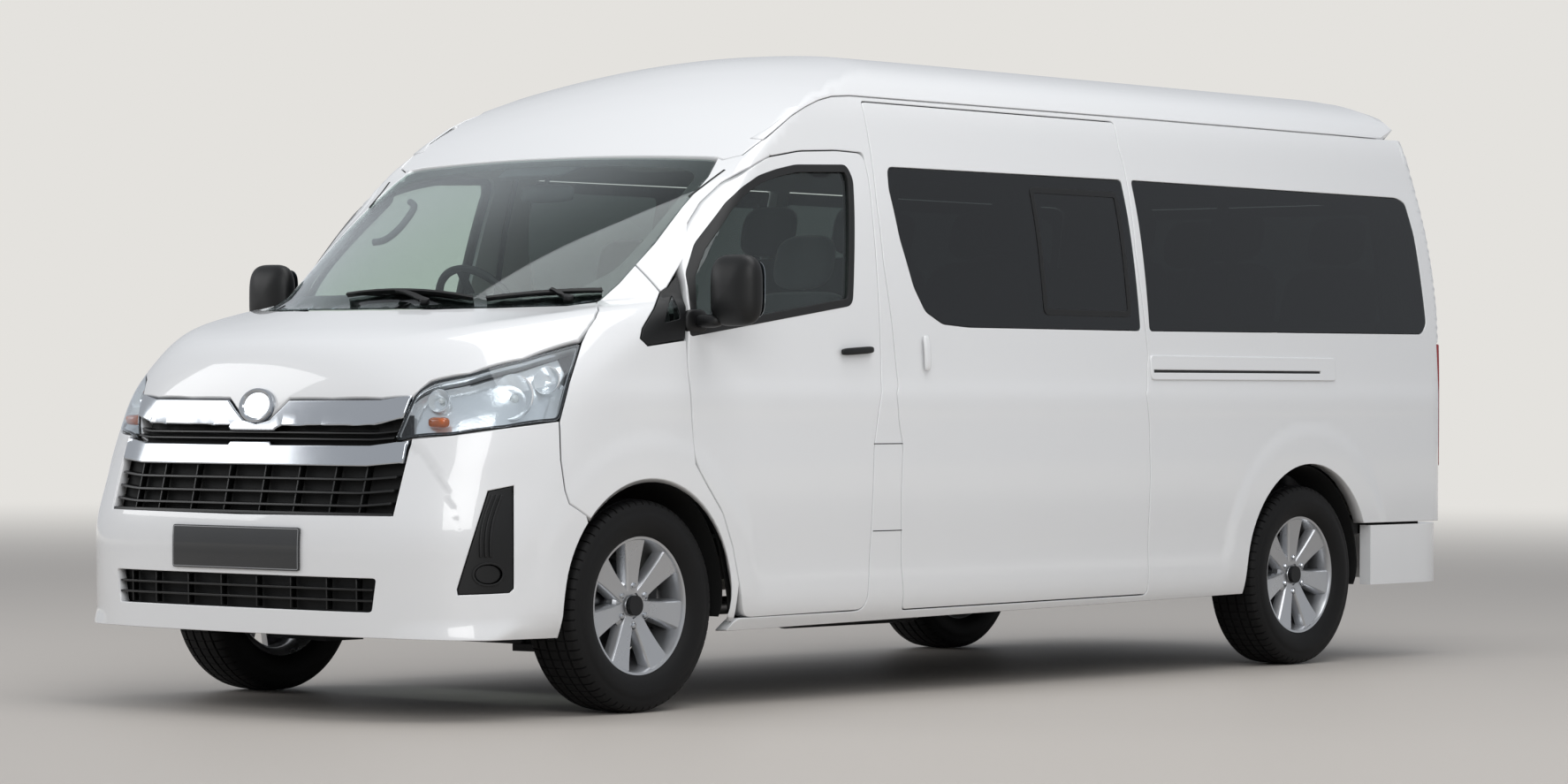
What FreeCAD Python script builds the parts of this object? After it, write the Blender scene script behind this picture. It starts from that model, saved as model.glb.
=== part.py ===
# Minibus: a long, wide, high-roof passenger van with a short bonnet.
# +Z is up, the front faces -Y, the vehicle's left side is +X, and all sizes are millimetres.
# The origin is on the ground, in the middle of the vehicle's length and width.
import FreeCAD, Part
import math
import os

V = FreeCAD.Vector

# Overall sizes
LENGTH = 5915.0
BODY_WIDTH = 1950.0
HEIGHT = 2280.0
WHEELBASE = 3860.0
FRONT_OVERHANG = 937.5
TRACK = 1675.0

# Heights of the body
SILL_BOTTOM = 240.0
FLOOR_TOP = 560.0
FLOOR_THICK = 60.0
GUTTER_HEIGHT = 2088.0

# Walls, gaps and clearances
WALL = 50.0
PANEL_GAP = 6.0
GLASS_THICK = 5.0
GLASS_FIT = 0.3
SEAT_FIT = 0.3
SHUT_GAP = 6.0

# Wheels
TYRE_RADIUS = 350.0
TYRE_WIDTH = 225.0
RIM_RADIUS = 228.0
RIM_WIDTH = 178.0
SPOKES = 7
HUB_BORE = 33.0
SPINDLE_FIT = 0.1
TYRE_FACETS = 60

FRONT_AXLE_Y = -LENGTH / 2 + FRONT_OVERHANG
REAR_AXLE_Y = FRONT_AXLE_Y + WHEELBASE
HALF_TRACK = TRACK / 2
FRONT_END = -LENGTH / 2
REAR_END = LENGTH / 2

# Half width of the body at each height, as (share of the half width, height)
SECTION = [(0.938, SILL_BOTTOM), (0.972, 290), (0.992, 440), (1.0, 840), (0.987, 1075), (0.972, 1300),
           (0.946, 1530), (0.909, 1740), (0.857, 1940), (0.805, 2088), (0.744, 2160), (0.615, 2220),
           (0.441, 2258)]

# Plan of the nose at each height, as (height, front end, where the sides run straight, squareness)
NOSE = [(180, -2940, -2200, 4.0), (600, -2951, -2200, 4.0), (1050, -2850, -2000, 3.2),
        (1350, -2750, -1300, 2.2), (1870, -2110, -900, 2.4), (2320, -2000, -500, 2.4)]
TAIL_CORNER = 300.0
TAIL_SQUARENESS = 3.4


def box(x0, x1, y0, y1, z0, z1):
    """A box between two corners."""
    return Part.makeBox(x1 - x0, y1 - y0, z1 - z0, V(x0, y0, z0))


def polygon_wire(points):
    return Part.makePolygon(points + [points[0]])


def prism_x(outline, x0, x1):
    """Extrude an outline of (y, z) points along X."""
    face = Part.Face(polygon_wire([V(x0, y, z) for y, z in outline]))
    return face.extrude(V(x1 - x0, 0, 0))


def prism_y(outline, y0, y1):
    """Extrude an outline of (x, z) points along Y."""
    face = Part.Face(polygon_wire([V(x, y0, z) for x, z in outline]))
    return face.extrude(V(0, y1 - y0, 0))


def prism_z(outline, z0, z1):
    """Extrude an outline of (x, y) points along Z."""
    face = Part.Face(polygon_wire([V(x, y, z0) for x, y in outline]))
    return face.extrude(V(0, 0, z1 - z0))


def spline(points):
    curve = Part.BSplineCurve()
    curve.interpolate(points)
    return curve.toShape()


def mirrored(shape):
    """The same piece on the other side of the vehicle."""
    return shape.mirror(V(0, 0, 0), V(1, 0, 0))


def cylinder_x(x0, x1, y, z, radius):
    return Part.makeCylinder(radius, x1 - x0, V(x0, y, z), V(1, 0, 0))


def common_all(*shapes):
    result = shapes[0]
    for shape in shapes[1:]:
        result = result.common(shape)
    return result


# The body's outer form: a swept section, a plan that rounds the nose and the tail, and a crowned side view

def section_solid(inset):
    half = BODY_WIDTH / 2
    side = [V(share * half - inset, -3200, z) for share, z in SECTION]
    top = V(0, -3200, HEIGHT - inset)
    lowered = [V(p.x, p.y, min(p.z, HEIGHT - inset * 1.6)) if p.z > 2100 else p for p in side]
    if inset:
        lowered = side[:10] + [V(side[10].x, -3200, 2160 - inset * 0.55), V(side[11].x, -3200, 2220 - inset * 0.85),
                               V(side[12].x, -3200, 2258 - inset * 0.97)]
    right = [V(-p.x, p.y, p.z) for p in reversed(lowered)]
    arc = spline(lowered + [top] + right)
    base = Part.makeLine(right[-1], lowered[0])
    return Part.Face(Part.Wire([arc, base])).extrude(V(0, 6400, 0))


def plan_wire(z, front, straight, squareness, inset):
    half = BODY_WIDTH / 2 + 6 - inset
    reach = straight - front - inset
    nose = []
    steps = 9
    for i in range(-steps, steps + 1):
        angle = math.pi / 2 * i / steps
        sign = 1 if angle > 0 else -1
        x = sign * half * abs(math.sin(angle)) ** (2 / squareness)
        y = straight - reach * math.cos(angle) ** (2 / squareness)
        nose.append(V(x, y, z))
    tail = []
    start = REAR_END - TAIL_CORNER
    depth = TAIL_CORNER - inset
    for i in range(-steps, steps + 1):
        angle = math.pi / 2 * i / steps
        sign = 1 if angle > 0 else -1
        x = -sign * half * abs(math.sin(angle)) ** (2 / TAIL_SQUARENESS)
        y = start + depth * math.cos(angle) ** (2 / TAIL_SQUARENESS)
        tail.append(V(x, y, z))
    left = Part.makeLine(nose[-1], tail[0])
    right = Part.makeLine(tail[-1], nose[0])
    return Part.Wire([spline(nose), left, spline(tail), right])


def plan_solid(inset):
    wires = [plan_wire(z, front, straight, squareness, inset) for z, front, straight, squareness in NOSE]
    return Part.makeLoft(wires, True, True)



# Side view of the upper body in the middle and out at one metre, as (y, z) points of each stretch
SIDE_VIEW_REACH = 1000.0
BONNET_MIDDLE = [(-2868, 985), (-2850, 1090), (-2775, 1195), (-2640, 1262), (-2450, 1326)]
BONNET_OUTER = [(-2760, 1000), (-2735, 1120), (-2610, 1215), (-2250, 1295), (-1700, 1370)]
SCREEN_MIDDLE = [(-2450, 1326), (-1960, 1618), (-1437, 1869)]
SCREEN_OUTER = [(-1700, 1370), (-1530, 1612), (-1371, 1834)]
DOME_MIDDLE = [(-1437, 1869), (-1230, 2010), (-960, 2145), (-680, 2235), (-380, 2282)]
DOME_OUTER = [(-1371, 1834), (-1169, 1960), (-940, 2052), (-600, 2125), (-380, 2165)]
TAIL_MIDDLE = [(2480, 2300), (2640, 2275), (2770, 2200), (2815, 2095)]
TAIL_OUTER = [(2440, 2300), (2600, 2275), (2730, 2190), (2770, 2080)]
REAR_MIDDLE = [(2815, 2095), (2858, 1800), (2885, 1440), (2893, 600)]
REAR_OUTER = [(2770, 2080), (2798, 1800), (2825, 1440), (2833, 600)]
ROOF_LIMIT = 2300.0


def side_view_wire(x, stretches, inset):
    def shifted(points, dy, dz):
        return [V(x, y + dy * inset, z + dz * inset) for y, z in points]
    bonnet, screen, dome, tail, rear = stretches
    nose = shifted(bonnet, 0.8, -0.7)
    glass = shifted(screen, 0.42, -0.9)
    crown = shifted(dome, 0.3, -1.0)
    back = shifted(tail, -0.6, -0.9)
    end = shifted(rear, -1.0, 0.0)
    glass[0] = nose[-1]
    crown[0] = glass[-1]
    end[0] = back[-1]
    low_front = V(x, -3150, 100)
    high_front = V(x, -3150, nose[0].z)
    low_rear = V(x, end[-1].y, 100)
    edges = [Part.makeLine(low_front, high_front), Part.makeLine(high_front, nose[0]), spline(nose), spline(glass),
             spline(crown), Part.makeLine(crown[-1], back[0]), spline(back), spline(end),
             Part.makeLine(end[-1], low_rear), Part.makeLine(low_rear, low_front)]
    return Part.Wire(edges)


def side_view_solid(inset):
    outer = (BONNET_OUTER, SCREEN_OUTER, DOME_OUTER, TAIL_OUTER, REAR_OUTER)
    middle = (BONNET_MIDDLE, SCREEN_MIDDLE, DOME_MIDDLE, TAIL_MIDDLE, REAR_MIDDLE)
    wires = [side_view_wire(-SIDE_VIEW_REACH, outer, inset), side_view_wire(0, middle, inset),
             side_view_wire(SIDE_VIEW_REACH, outer, inset)]
    return Part.makeLoft(wires, True, False)


def envelope(inset):
    """The outer form of the body, moved in by the thickness of its walls."""
    return common_all(section_solid(inset), plan_solid(inset), side_view_solid(inset))



# Outlines seen from the side, as (y, z)
FRONT_DOOR = [(-1726, 1490), (-1686, 1544), (-1580, 1636), (-1446, 1730), (-1309, 1811), (-1179, 1858),
              (-1055, 1878), (-909, 1886), (-787, 1886), (-773, 1824), (-776, 1650), (-785, 1407),
              (-791, 1266), (-806, 1152), (-829, 996), (-868, 880), (-876, 763), (-882, 576), (-888, 440),
              (-893, 300), (-1539, 300), (-1580, 412), (-1599, 501), (-1650, 620), (-1708, 709),
              (-1767, 782), (-1785, 841), (-1788, 1059), (-1805, 1118), (-1810, 1205)]
FRONT_WINDOW = [(-1795, 1240), (-1700, 1450), (-1580, 1560), (-1460, 1660), (-1300, 1752), (-1150, 1798),
                (-900, 1806), (-880, 1780), (-955, 1372), (-975, 1356), (-1760, 1244)]
SLIDING_DOOR = [(-700, 2076), (747, 2082), (747, 306), (-700, 306)]
SLIDING_WINDOW = [(-648, 1828), (738, 1828), (738, 1300), (-330, 1300), (-475, 1330), (-530, 1385), (-615, 1640)]
REAR_WINDOW = [(800, 1828), (2610, 1822), (2665, 1800), (2715, 1335), (2690, 1310), (800, 1300)]
FRONT_ARCH_RADIUS = 408.0
REAR_ARCH_RADIUS = 425.0
GUTTER = [(-1445, 1842), (-1311, 1886), (-1169, 1963), (-1001, 2032), (-889, 2063), (-709, GUTTER_HEIGHT)]

# Bonnet seen from above and the lamps seen from the side
BONNET_THICK = 16.0
BONNET_AXIS = (-2093.6, 1352.0)
COWL_MIDDLE = -2440.0
COWL_BOW = 0.000545
BONNET_SIDE = [(633, -2772), (667, -2730), (885, -2262), (852, -2185), (820, -2110)]
BONNET_FRONT_HEIGHT = 1022.0
BUMPER_SEAM_Y = -2434.0


def grown(outline, by):
    """Move every corner of an outline out from its middle by about the given distance."""
    face = Part.Face(polygon_wire([V(0, y, z) for y, z in outline]))
    return face.makeOffset2D(by, 2).OuterWire


def wide_prism(outline, by, x0, x1):
    wire = grown(outline, by)
    face = Part.Face(wire)
    face.translate(V(x0, 0, 0))
    return face.extrude(V(x1 - x0, 0, 0))


def sheet_of(outer, direction):
    """The outermost layer of a solid, as thick as the direction is long."""
    moved = outer.copy()
    moved.translate(direction)
    return outer.cut(moved)


def cowl_curve(offset):
    points = []
    for i in range(9):
        x = BONNET_SIDE[-1][0] * (1 - i / 4)
        points.append((x, COWL_MIDDLE + offset + COWL_BOW * x * x))
    return points


def bonnet_plan(gap):
    side = [(x - gap, y) for x, y in BONNET_SIDE]
    side[0] = (side[0][0], -2950)
    left = side[:-1]
    rear = [(x * (1 - gap / 820), y) for x, y in cowl_curve(-gap)]
    right = [(-x, y) for x, y in reversed(left)]
    return left + rear + right


def side_piece(shell, outline, by=0.0):
    solid = wide_prism(outline, by, 250, 1100) if by else prism_x(outline, 250, 1100)
    return shell.common(solid)


def wheel_arches(x0, x1):
    front = cylinder_x(x0, x1, FRONT_AXLE_Y, TYRE_RADIUS + 5, FRONT_ARCH_RADIUS)
    rear = cylinder_x(x0, x1, REAR_AXLE_Y, TYRE_RADIUS + 5, REAR_ARCH_RADIUS)
    below_front = box(x0, x1, FRONT_AXLE_Y - FRONT_ARCH_RADIUS, FRONT_AXLE_Y + FRONT_ARCH_RADIUS, 0, TYRE_RADIUS)
    below_rear = box(x0, x1, REAR_AXLE_Y - REAR_ARCH_RADIUS, REAR_AXLE_Y + REAR_ARCH_RADIUS, 0, TYRE_RADIUS)
    return [front, rear, below_front, below_rear]


DOOR_AXIS = (973.0, -1791.0)
HINGE_PIN = 2.7
HINGE_HEIGHTS = (905.0, 1000.0)
PIN_LENGTH = 60.0
RING_RADIUS = 5.4
RING_POCKET = 6.4
RING_HEIGHT = 8.0
RING_FIT = 0.25
GATE_AXIS = (2822.0, 2082.0)
GATE_PIN = 5.0
LIP_REACH = 34.0
LIP_THICK = 11.0

parts = {}


def add(node, *solids):
    parts[node] = Part.Compound(list(solids)) if len(solids) > 1 else solids[0]


def check_solids(shape):
    """The solids of a shape that are larger than a sliver."""
    return [s for s in shape.Solids if s.Volume > 2000]


def add_shape(node, shape):
    add(node, *check_solids(shape))


def door_rings(radius, grow):
    """The front door's hinge rings, one at each end of both hinge pins, as plain discs."""
    discs = []
    for z in HINGE_HEIGHTS:
        for low in (z, z + PIN_LENGTH - RING_HEIGHT):
            discs.append(Part.makeCylinder(radius, RING_HEIGHT - 2 * grow, V(*DOOR_AXIS, low + grow)))
    return discs


def build_body():
    outer = envelope(0)
    inner = envelope(WALL)
    shell = outer.cut(inner)
    arches = wheel_arches(250, 1100)
    arches += wheel_arches(-1100, -250)
    shell = shell.cut(arches)
    side_outline = [(3000, 536), (3000, GUTTER_HEIGHT), (-709, GUTTER_HEIGHT)] + GUTTER[-2:0:-1]
    side_outline += [(-1311, 1840), (-1311, 1817)]
    door_gap = [(y + 6, z + 6) for y, z in FRONT_DOOR[5:9]]
    door_gap[-1] = (-767, 1892)
    side_outline += door_gap + [(y + SHUT_GAP, z) for y, z in FRONT_DOOR[9:19]]
    side_outline += [(-887, 293), (-1590, 293), (-1594, 200), (2270, 200), (2270, 536)]
    tailgate_zone = box(-796, 796, 2560, 3100, 541, GUTTER_HEIGHT)
    side = side_piece(shell, side_outline)
    side = side.cut(tailgate_zone)
    lamp_box = box(806, 1100, 2795, 3100, 765, 1260)
    tail_lamp = side.common(lamp_box)
    side = side.cut(lamp_box)
    add("tail_lamps", tail_lamp, mirrored(tail_lamp))
    right_side = side.cut([prism_x(SLIDING_WINDOW, 250, 1100), prism_x(REAR_WINDOW, 250, 1100)])
    side = side.cut([wide_prism(SLIDING_DOOR, PANEL_GAP, 250, 1100), prism_x(REAR_WINDOW, 250, 1100)])
    add_shape("side_left", side)
    add_shape("side_right", mirrored(right_side))

    door = side_piece(shell, SLIDING_DOOR).cut(prism_x(SLIDING_WINDOW, 250, 1100))
    add_shape("sliding_door", door)
    skin = sheet_of(outer, V(-GLASS_THICK, 0, 0))
    sliding_glass = wide_prism(SLIDING_WINDOW, -GLASS_FIT, 250, 1100)
    rear_glass = wide_prism(REAR_WINDOW, -GLASS_FIT, 250, 1100)
    sliding_pane = skin.common(sliding_glass)
    rear_pane = skin.common(rear_glass)
    add_shape("side_glass", Part.Compound([sliding_pane, rear_pane, mirrored(sliding_pane), mirrored(rear_pane)]))

    front_door = side_piece(shell, FRONT_DOOR).cut(prism_x(FRONT_WINDOW, 250, 1100))
    rings = [ring.cut(Part.makeCylinder(HINGE_PIN + RING_FIT, 2000, V(*DOOR_AXIS, 0))) for ring in door_rings(RING_RADIUS, 0)]
    front_door = Part.Compound(check_solids(front_door.fuse(rings)))
    pane = skin.common(wide_prism(FRONT_WINDOW, -GLASS_FIT, 250, 1100))
    add_shape("front_door_left", front_door)
    add_shape("front_door_right", mirrored(front_door))
    add_shape("door_glass_left", pane)
    add_shape("door_glass_right", mirrored(pane))

    roof_outline = GUTTER + [(3000, GUTTER_HEIGHT), (3000, 2400), (-1445, 2400)]
    roof = shell.common(prism_x(roof_outline, -1100, 1100))
    hinges = [cylinder_x(x - 30, x + 30, GATE_AXIS[0], GATE_AXIS[1], GATE_PIN).fuse(
        box(x - 25, x + 25, GATE_AXIS[0] - 4, GATE_AXIS[0] + 4, GATE_AXIS[1] + 2, GUTTER_HEIGHT + 3))
        for x in (-500, 500)]
    moved = outer.copy()
    moved.translate(V(0, LIP_REACH, 0))
    lip = moved.common(box(-740, 740, 2700, 2900, GUTTER_HEIGHT, GUTTER_HEIGHT + LIP_THICK)).cut(outer)
    add_shape("roof", roof.fuse(check_solids(lip) + hinges))

    frame_outline = [(-1445, 1900), (-1445, 1842), (-1311, 1886), (-1311, 1817)]
    frame_outline += [(y - 5, z + 6) for y, z in FRONT_DOOR[3::-1]]
    frame_outline += [(-1816, 1208), (-2120, 1208), (-2800, 1208), (-2800, 1900)]
    screen_outline = [(-735, 1375), (-500, 1352), (0, 1343), (500, 1352), (735, 1375), (700, 1831),
                      (350, 1845), (0, 1849), (-350, 1845), (-700, 1831)]
    screen_prism = prism_y(screen_outline, -2700, -1250)
    bonnet_zone = prism_z(bonnet_plan(0), 900, 1500)
    frame = shell.common(prism_x(frame_outline, -1100, 1100)).cut([screen_prism, bonnet_zone])
    bonnet_pins = [cylinder_x(s * 800 - 9, s * 800 + 9, BONNET_AXIS[0], BONNET_AXIS[1], 2.2) for s in (-1, 1)]
    add_shape("windscreen_frame", frame.fuse(bonnet_pins))
    screen_fit = prism_y([(x * 0.9994, z + (0.3 if z < 1500 else -0.3)) for x, z in screen_outline], -2700, -1250)
    screen = sheet_of(outer, V(0, 3, -5)).common(screen_fit)
    add_shape("windscreen", screen)

    skin_layer = sheet_of(outer, V(0, BONNET_THICK / 2, -BONNET_THICK))
    bonnet = skin_layer.common(prism_z(bonnet_plan(SHUT_GAP), BONNET_FRONT_HEIGHT, 1500))
    add_shape("bonnet", bonnet)

    wing_outline = [(BUMPER_SEAM_Y, 200), (BUMPER_SEAM_Y, 957), (-2268, 1201), (-2268, 1208), (-1816, 1208),
                    (-1811, 1118), (-1794, 1059), (-1791, 841), (-1773, 776), (-1714, 703), (-1656, 614),
                    (-1605, 499), (-1586, 412), (-1594, 200)]
    wing = shell.common(prism_x(wing_outline, 250, 1100)).cut(bonnet_zone)
    wing = wing.cut([ring for ring in door_rings(RING_POCKET, -0.8)])
    pins = [Part.makeCylinder(HINGE_PIN, PIN_LENGTH, V(DOOR_AXIS[0], DOOR_AXIS[1], z)) for z in HINGE_HEIGHTS]
    wing = wing.fuse([pin.fuse(box(DOOR_AXIS[0] - 12, DOOR_AXIS[0] - 2, DOOR_AXIS[1] - 8, DOOR_AXIS[1] - 1,
                                   pin.BoundBox.ZMin + 10, pin.BoundBox.ZMin + 50)) for pin in pins])
    add_shape("front_wings", Part.Compound(check_solids(wing) + check_solids(mirrored(wing))))

    lamp_top = [(-2838, 893), (-2773, 1046), (-2732, 1079), (-2268, 1201), (-2436, 957), (-2649, 918)]
    lamp = shell.common(wide_prism(lamp_top, -GLASS_FIT, 250, 1100)).cut(bonnet_zone)
    lamp = lamp.cut(box(0, 606, -3000, -2000, 0, 2000))
    add_shape("headlamps", Part.Compound(check_solids(lamp) + check_solids(mirrored(lamp))))

    bumper_zone = [(-3000, 200), (-3000, 893), (-2838, 893), (-2649, 917), (BUMPER_SEAM_Y - 2, 956),
                   (BUMPER_SEAM_Y - 2, 200)]
    bumper = shell.common(prism_x(bumper_zone, -1100, 1100))
    main_opening = prism_y([(-650, 650), (650, 650), (640, 893), (-640, 893)], -3000, -2600)
    low_opening = prism_y([(-588, 347), (588, 347), (606, 453), (-606, 453)], -3000, -2600)
    fog = [(893, 733), (926, 749), (938, 424), (933, 411), (850, 406), (849, 423)]
    fog_prisms = [prism_y(fog, -3000, -2550), prism_y([(-x, z) for x, z in fog], -3000, -2550)]
    bumper = bumper.cut([main_opening, low_opening, box(-606, 606, -3000, -2600, 893, 1100)] + fog_prisms)
    add_shape("front_bumper", bumper)
    fog_trim = []
    for prism in fog_prisms:
        fog_trim += check_solids(shell.common(prism))
    grille_band = shell.common(box(-650, 650, -3000, -2600, 650, 893)).common(main_opening)
    add("grilles", *check_solids(grille_band), *check_solids(shell.common(low_opening)), *fog_trim)
    bars = shell.common(box(-606, 606, -3000, -2600, 893.0, BONNET_FRONT_HEIGHT - 6))
    bars = bars.fuse([box(x - 20, x + 20, -2835, -2815, 1000, BONNET_FRONT_HEIGHT - 0.3) for x in (-420, 420)])
    add_shape("bright_bars", bars)
    add("rear_bumper", rear_bumper())
    gate = shell.common(box(-790, 790, 2560, 3100, 547, GUTTER_HEIGHT - 12))
    gate_window = prism_y([(-680, 1310), (680, 1310), (640, 1840), (-640, 1840)], 2500, 3100)
    add_shape("tailgate", gate.cut(gate_window))
    plate_front = box(-293, 293, FRONT_END, -2945, 473, 610).cut(outer)
    plate_rear = box(-260, 260, 2840, 2905, 1010, 1150).cut(outer)
    add_shape("front_plate", plate_front)
    add_shape("rear_plate", plate_rear)
    gate_glass = sheet_of(outer, V(0, -GLASS_THICK, 0)).common(
        prism_y([(-679.7, 1310.3), (679.7, 1310.3), (639.7, 1839.7), (-639.7, 1839.7)], 2500, 3100))
    add_shape("tailgate_glass", gate_glass)



def rear_bumper():
    """A hollow moulding round the tail, open towards the body."""
    def outline(inset):
        points = []
        half = BODY_WIDTH / 2 - inset - 3
        depth = REAR_END - inset - 2500
        for i in range(-8, 9):
            angle = math.pi / 2 * i / 8
            sign = 1 if angle > 0 else -1
            x = -sign * half * abs(math.sin(angle)) ** (2 / 4.5)
            points.append(V(x, 2500 + depth * math.cos(angle) ** (2 / 4.5), 300))
        return points
    outer = outline(0)
    inner = outline(WALL)
    front = 2276.0
    solids = []
    for points in (outer, inner):
        start = V(points[0].x, front, 300)
        end = V(points[-1].x, front, 300)
        curve = spline(points)
        edges = [Part.makeLine(start, points[0]), curve, Part.makeLine(points[-1], end), Part.makeLine(end, start)]
        solids.append(Part.Face(Part.Wire(edges)).extrude(V(0, 0, 235.7)))
    return solids[0].cut(solids[1])


def floor_pan(inner):
    """The floor between the side walls, with its two long rails and cross members below."""
    slab = inner.common(box(-990, 990, -1560, 2770, FLOOR_TOP - FLOOR_THICK, FLOOR_TOP))
    slab = slab.cut([box(868, 1100, -1900, -760, 0, 900), box(-1100, -868, -1900, -760, 0, 900)])
    slab = slab.cut([box(880, 1100, 2265, 2900, 0, 900), box(-1100, -880, 2265, 2900, 0, 900)])
    rear_cut = []
    for sign in (-1, 1):
        x0, x1 = sorted((sign * WHEELHOUSE_INNER, sign * 1100))
        rear_cut.append(cylinder_x(x0, x1, REAR_AXLE_Y, TYRE_RADIUS + 5, REAR_ARCH_RADIUS))
        x0, x1 = sorted((sign * FRONT_LINER_INNER, sign * 1100))
        rear_cut.append(cylinder_x(x0, x1, FRONT_AXLE_Y, TYRE_RADIUS + 5, FRONT_ARCH_RADIUS + 20))
    slab = slab.cut(rear_cut)
    rails = [box(s * 455 - 35, s * 455 + 35, -2700, 2700, 400, FLOOR_TOP - FLOOR_THICK) for s in (-1, 1)]
    crosses = [box(-420, 420, y - 30, y + 30, 420, 500) for y in (-2300, -1300, -450, 500, 1250, 2050)]
    low = slab.fuse(rails + crosses)
    pads = [box(s * RAIL_X - 28, s * RAIL_X + 28, y - 40, y + 40, RAIL_BOTTOM - JACK_PAD, RAIL_BOTTOM)
            for s in (-1, 1) for y in JACK_Y]
    low = low.removeSplitter().fuse(pads)
    eyes = [Part.makeCylinder(TOW_BORE, TOW_DEPTH + 1, V(x, y, RAIL_BOTTOM - 1)) for x, y in TOW_PLACES]
    return low.cut(eyes)


RAIL_X = 455.0
RAIL_BOTTOM = 400.0
JACK_PAD = 15.0
JACK_Y = (-1480.0, 950.0)
TOW_BORE = 10.0
TOW_DEPTH = 60.0
TOW_PLACES = ((455.0, -2640.0), (-455.0, 2640.0))
WHEELHOUSE_INNER = 690.0
FRONT_LINER_INNER = 505.0
LINER_THICK = 4.0


def wheelhouse(axle_y, radius, inner_x, floor_z, outer_x):
    """A half-round liner over one wheel, with a flat wall on its inner side."""
    axle_z = TYRE_RADIUS + 5
    shell = cylinder_x(inner_x, outer_x, axle_y, axle_z, radius)
    hollow = cylinder_x(inner_x + LINER_THICK, outer_x + 1, axle_y, axle_z, radius - LINER_THICK)
    liner = shell.cut(hollow)
    return liner.common(box(0, 1200, axle_y - radius - 1, axle_y + radius + 1, floor_z, 2000))


def facetted_ring(profile, centre, facets):
    """A ring round the X axis through a point, in flat facets whose middles lie on the outline of (x, radius)."""
    spread = 1 / math.cos(math.pi / facets)
    wires = []
    for i in range(facets):
        angle = 2 * math.pi * (i + 0.5) / facets
        ring = [V(x, centre.y + r * spread * math.sin(angle), centre.z + r * spread * math.cos(angle))
                for x, r in profile]
        wires.append(polygon_wire(ring))
    faces = []
    count = len(profile)
    for i in range(facets):
        here = [v.Point for v in wires[i].OrderedVertexes]
        there = [v.Point for v in wires[(i + 1) % facets].OrderedVertexes]
        for k in range(count):
            m = (k + 1) % count
            faces.append(Part.Face(polygon_wire([here[k], here[m], there[m], there[k]])))
    shell = Part.makeShell(faces)
    return Part.makeSolid(shell)


def wheel_parts(axle_y, side):
    """A tyre and its alloy rim with seven spokes, a hub and a brake disc."""
    x_in = HALF_TRACK - TYRE_WIDTH / 2
    profile = [(RIM_RADIUS, 18), (268, 4), (300, 0), (330, 8), (345, 22), (350, 40),
               (350, TYRE_WIDTH - 40), (345, TYRE_WIDTH - 22), (330, TYRE_WIDTH - 8), (300, TYRE_WIDTH),
               (268, TYRE_WIDTH - 4), (RIM_RADIUS, TYRE_WIDTH - 18)]
    centre = V(0, axle_y, TYRE_RADIUS)
    tyre = facetted_ring([(x_in + t, r) for r, t in profile], centre, TYRE_FACETS)
    rim_in = HALF_TRACK - RIM_WIDTH / 2
    rim_out = HALF_TRACK + RIM_WIDTH / 2
    barrel_outline = [(RIM_RADIUS - 0.3, rim_in), (RIM_RADIUS - 0.3, rim_out), (RIM_RADIUS - 16, rim_out + 4),
                      (RIM_RADIUS - 22, rim_out - 10), (RIM_RADIUS - 26, rim_in + 20), (RIM_RADIUS - 14, rim_in)]
    wire = polygon_wire([V(x, axle_y, TYRE_RADIUS + r) for r, x in barrel_outline])
    barrel = Part.Face(wire).revolve(centre, V(1, 0, 0), 360)
    hub = cylinder_x(HUB_FACE - 62, HUB_FACE, axle_y, TYRE_RADIUS, 84)
    spoke_outline = [(-23, 60), (-19, 150), (-27, RIM_RADIUS - 20), (27, RIM_RADIUS - 20), (19, 150), (23, 60)]
    spokes = []
    for i in range(SPOKES):
        points = [V(HUB_FACE - 34, axle_y + y, TYRE_RADIUS + r) for y, r in spoke_outline]
        spoke = Part.Face(polygon_wire(points)).extrude(V(26, 0, 0))
        spoke.rotate(centre, V(1, 0, 0), 360 / SPOKES * i)
        spokes.append(spoke)
    disc = cylinder_x(HUB_FACE - 100, HUB_FACE - 76, axle_y, TYRE_RADIUS, 150)
    hat = cylinder_x(HUB_FACE - 100, HUB_FACE - 60, axle_y, TYRE_RADIUS, 80)
    rim = barrel.fuse([hub, disc, hat] + spokes)
    bore = cylinder_x(HUB_FACE - 120, HUB_FACE - 10, axle_y, TYRE_RADIUS, HUB_BORE)
    rim = rim.cut(bore)
    if side < 0:
        return mirrored(tyre), mirrored(rim)
    return tyre, rim


HUB_FACE = 925.0
KINGPIN_X = 777.0
BALL_RISE = 150.0
PIN_RADIUS = 12.0


def knuckle():
    """The left steering knuckle: an upright with a spindle and two upright pins."""
    y = FRONT_AXLE_Y
    upright = box(KINGPIN_X - 25, KINGPIN_X + 25, y - 30, y + 30, TYRE_RADIUS - BALL_RISE + 22, TYRE_RADIUS + BALL_RISE - 22)
    spindle = cylinder_x(KINGPIN_X, HUB_FACE - 14, y, TYRE_RADIUS, HUB_BORE - SPINDLE_FIT)
    pin = Part.makeCylinder(PIN_RADIUS, 2 * BALL_RISE + 20, V(KINGPIN_X, y, TYRE_RADIUS - BALL_RISE - 10))
    return upright.fuse([spindle, pin])


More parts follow.
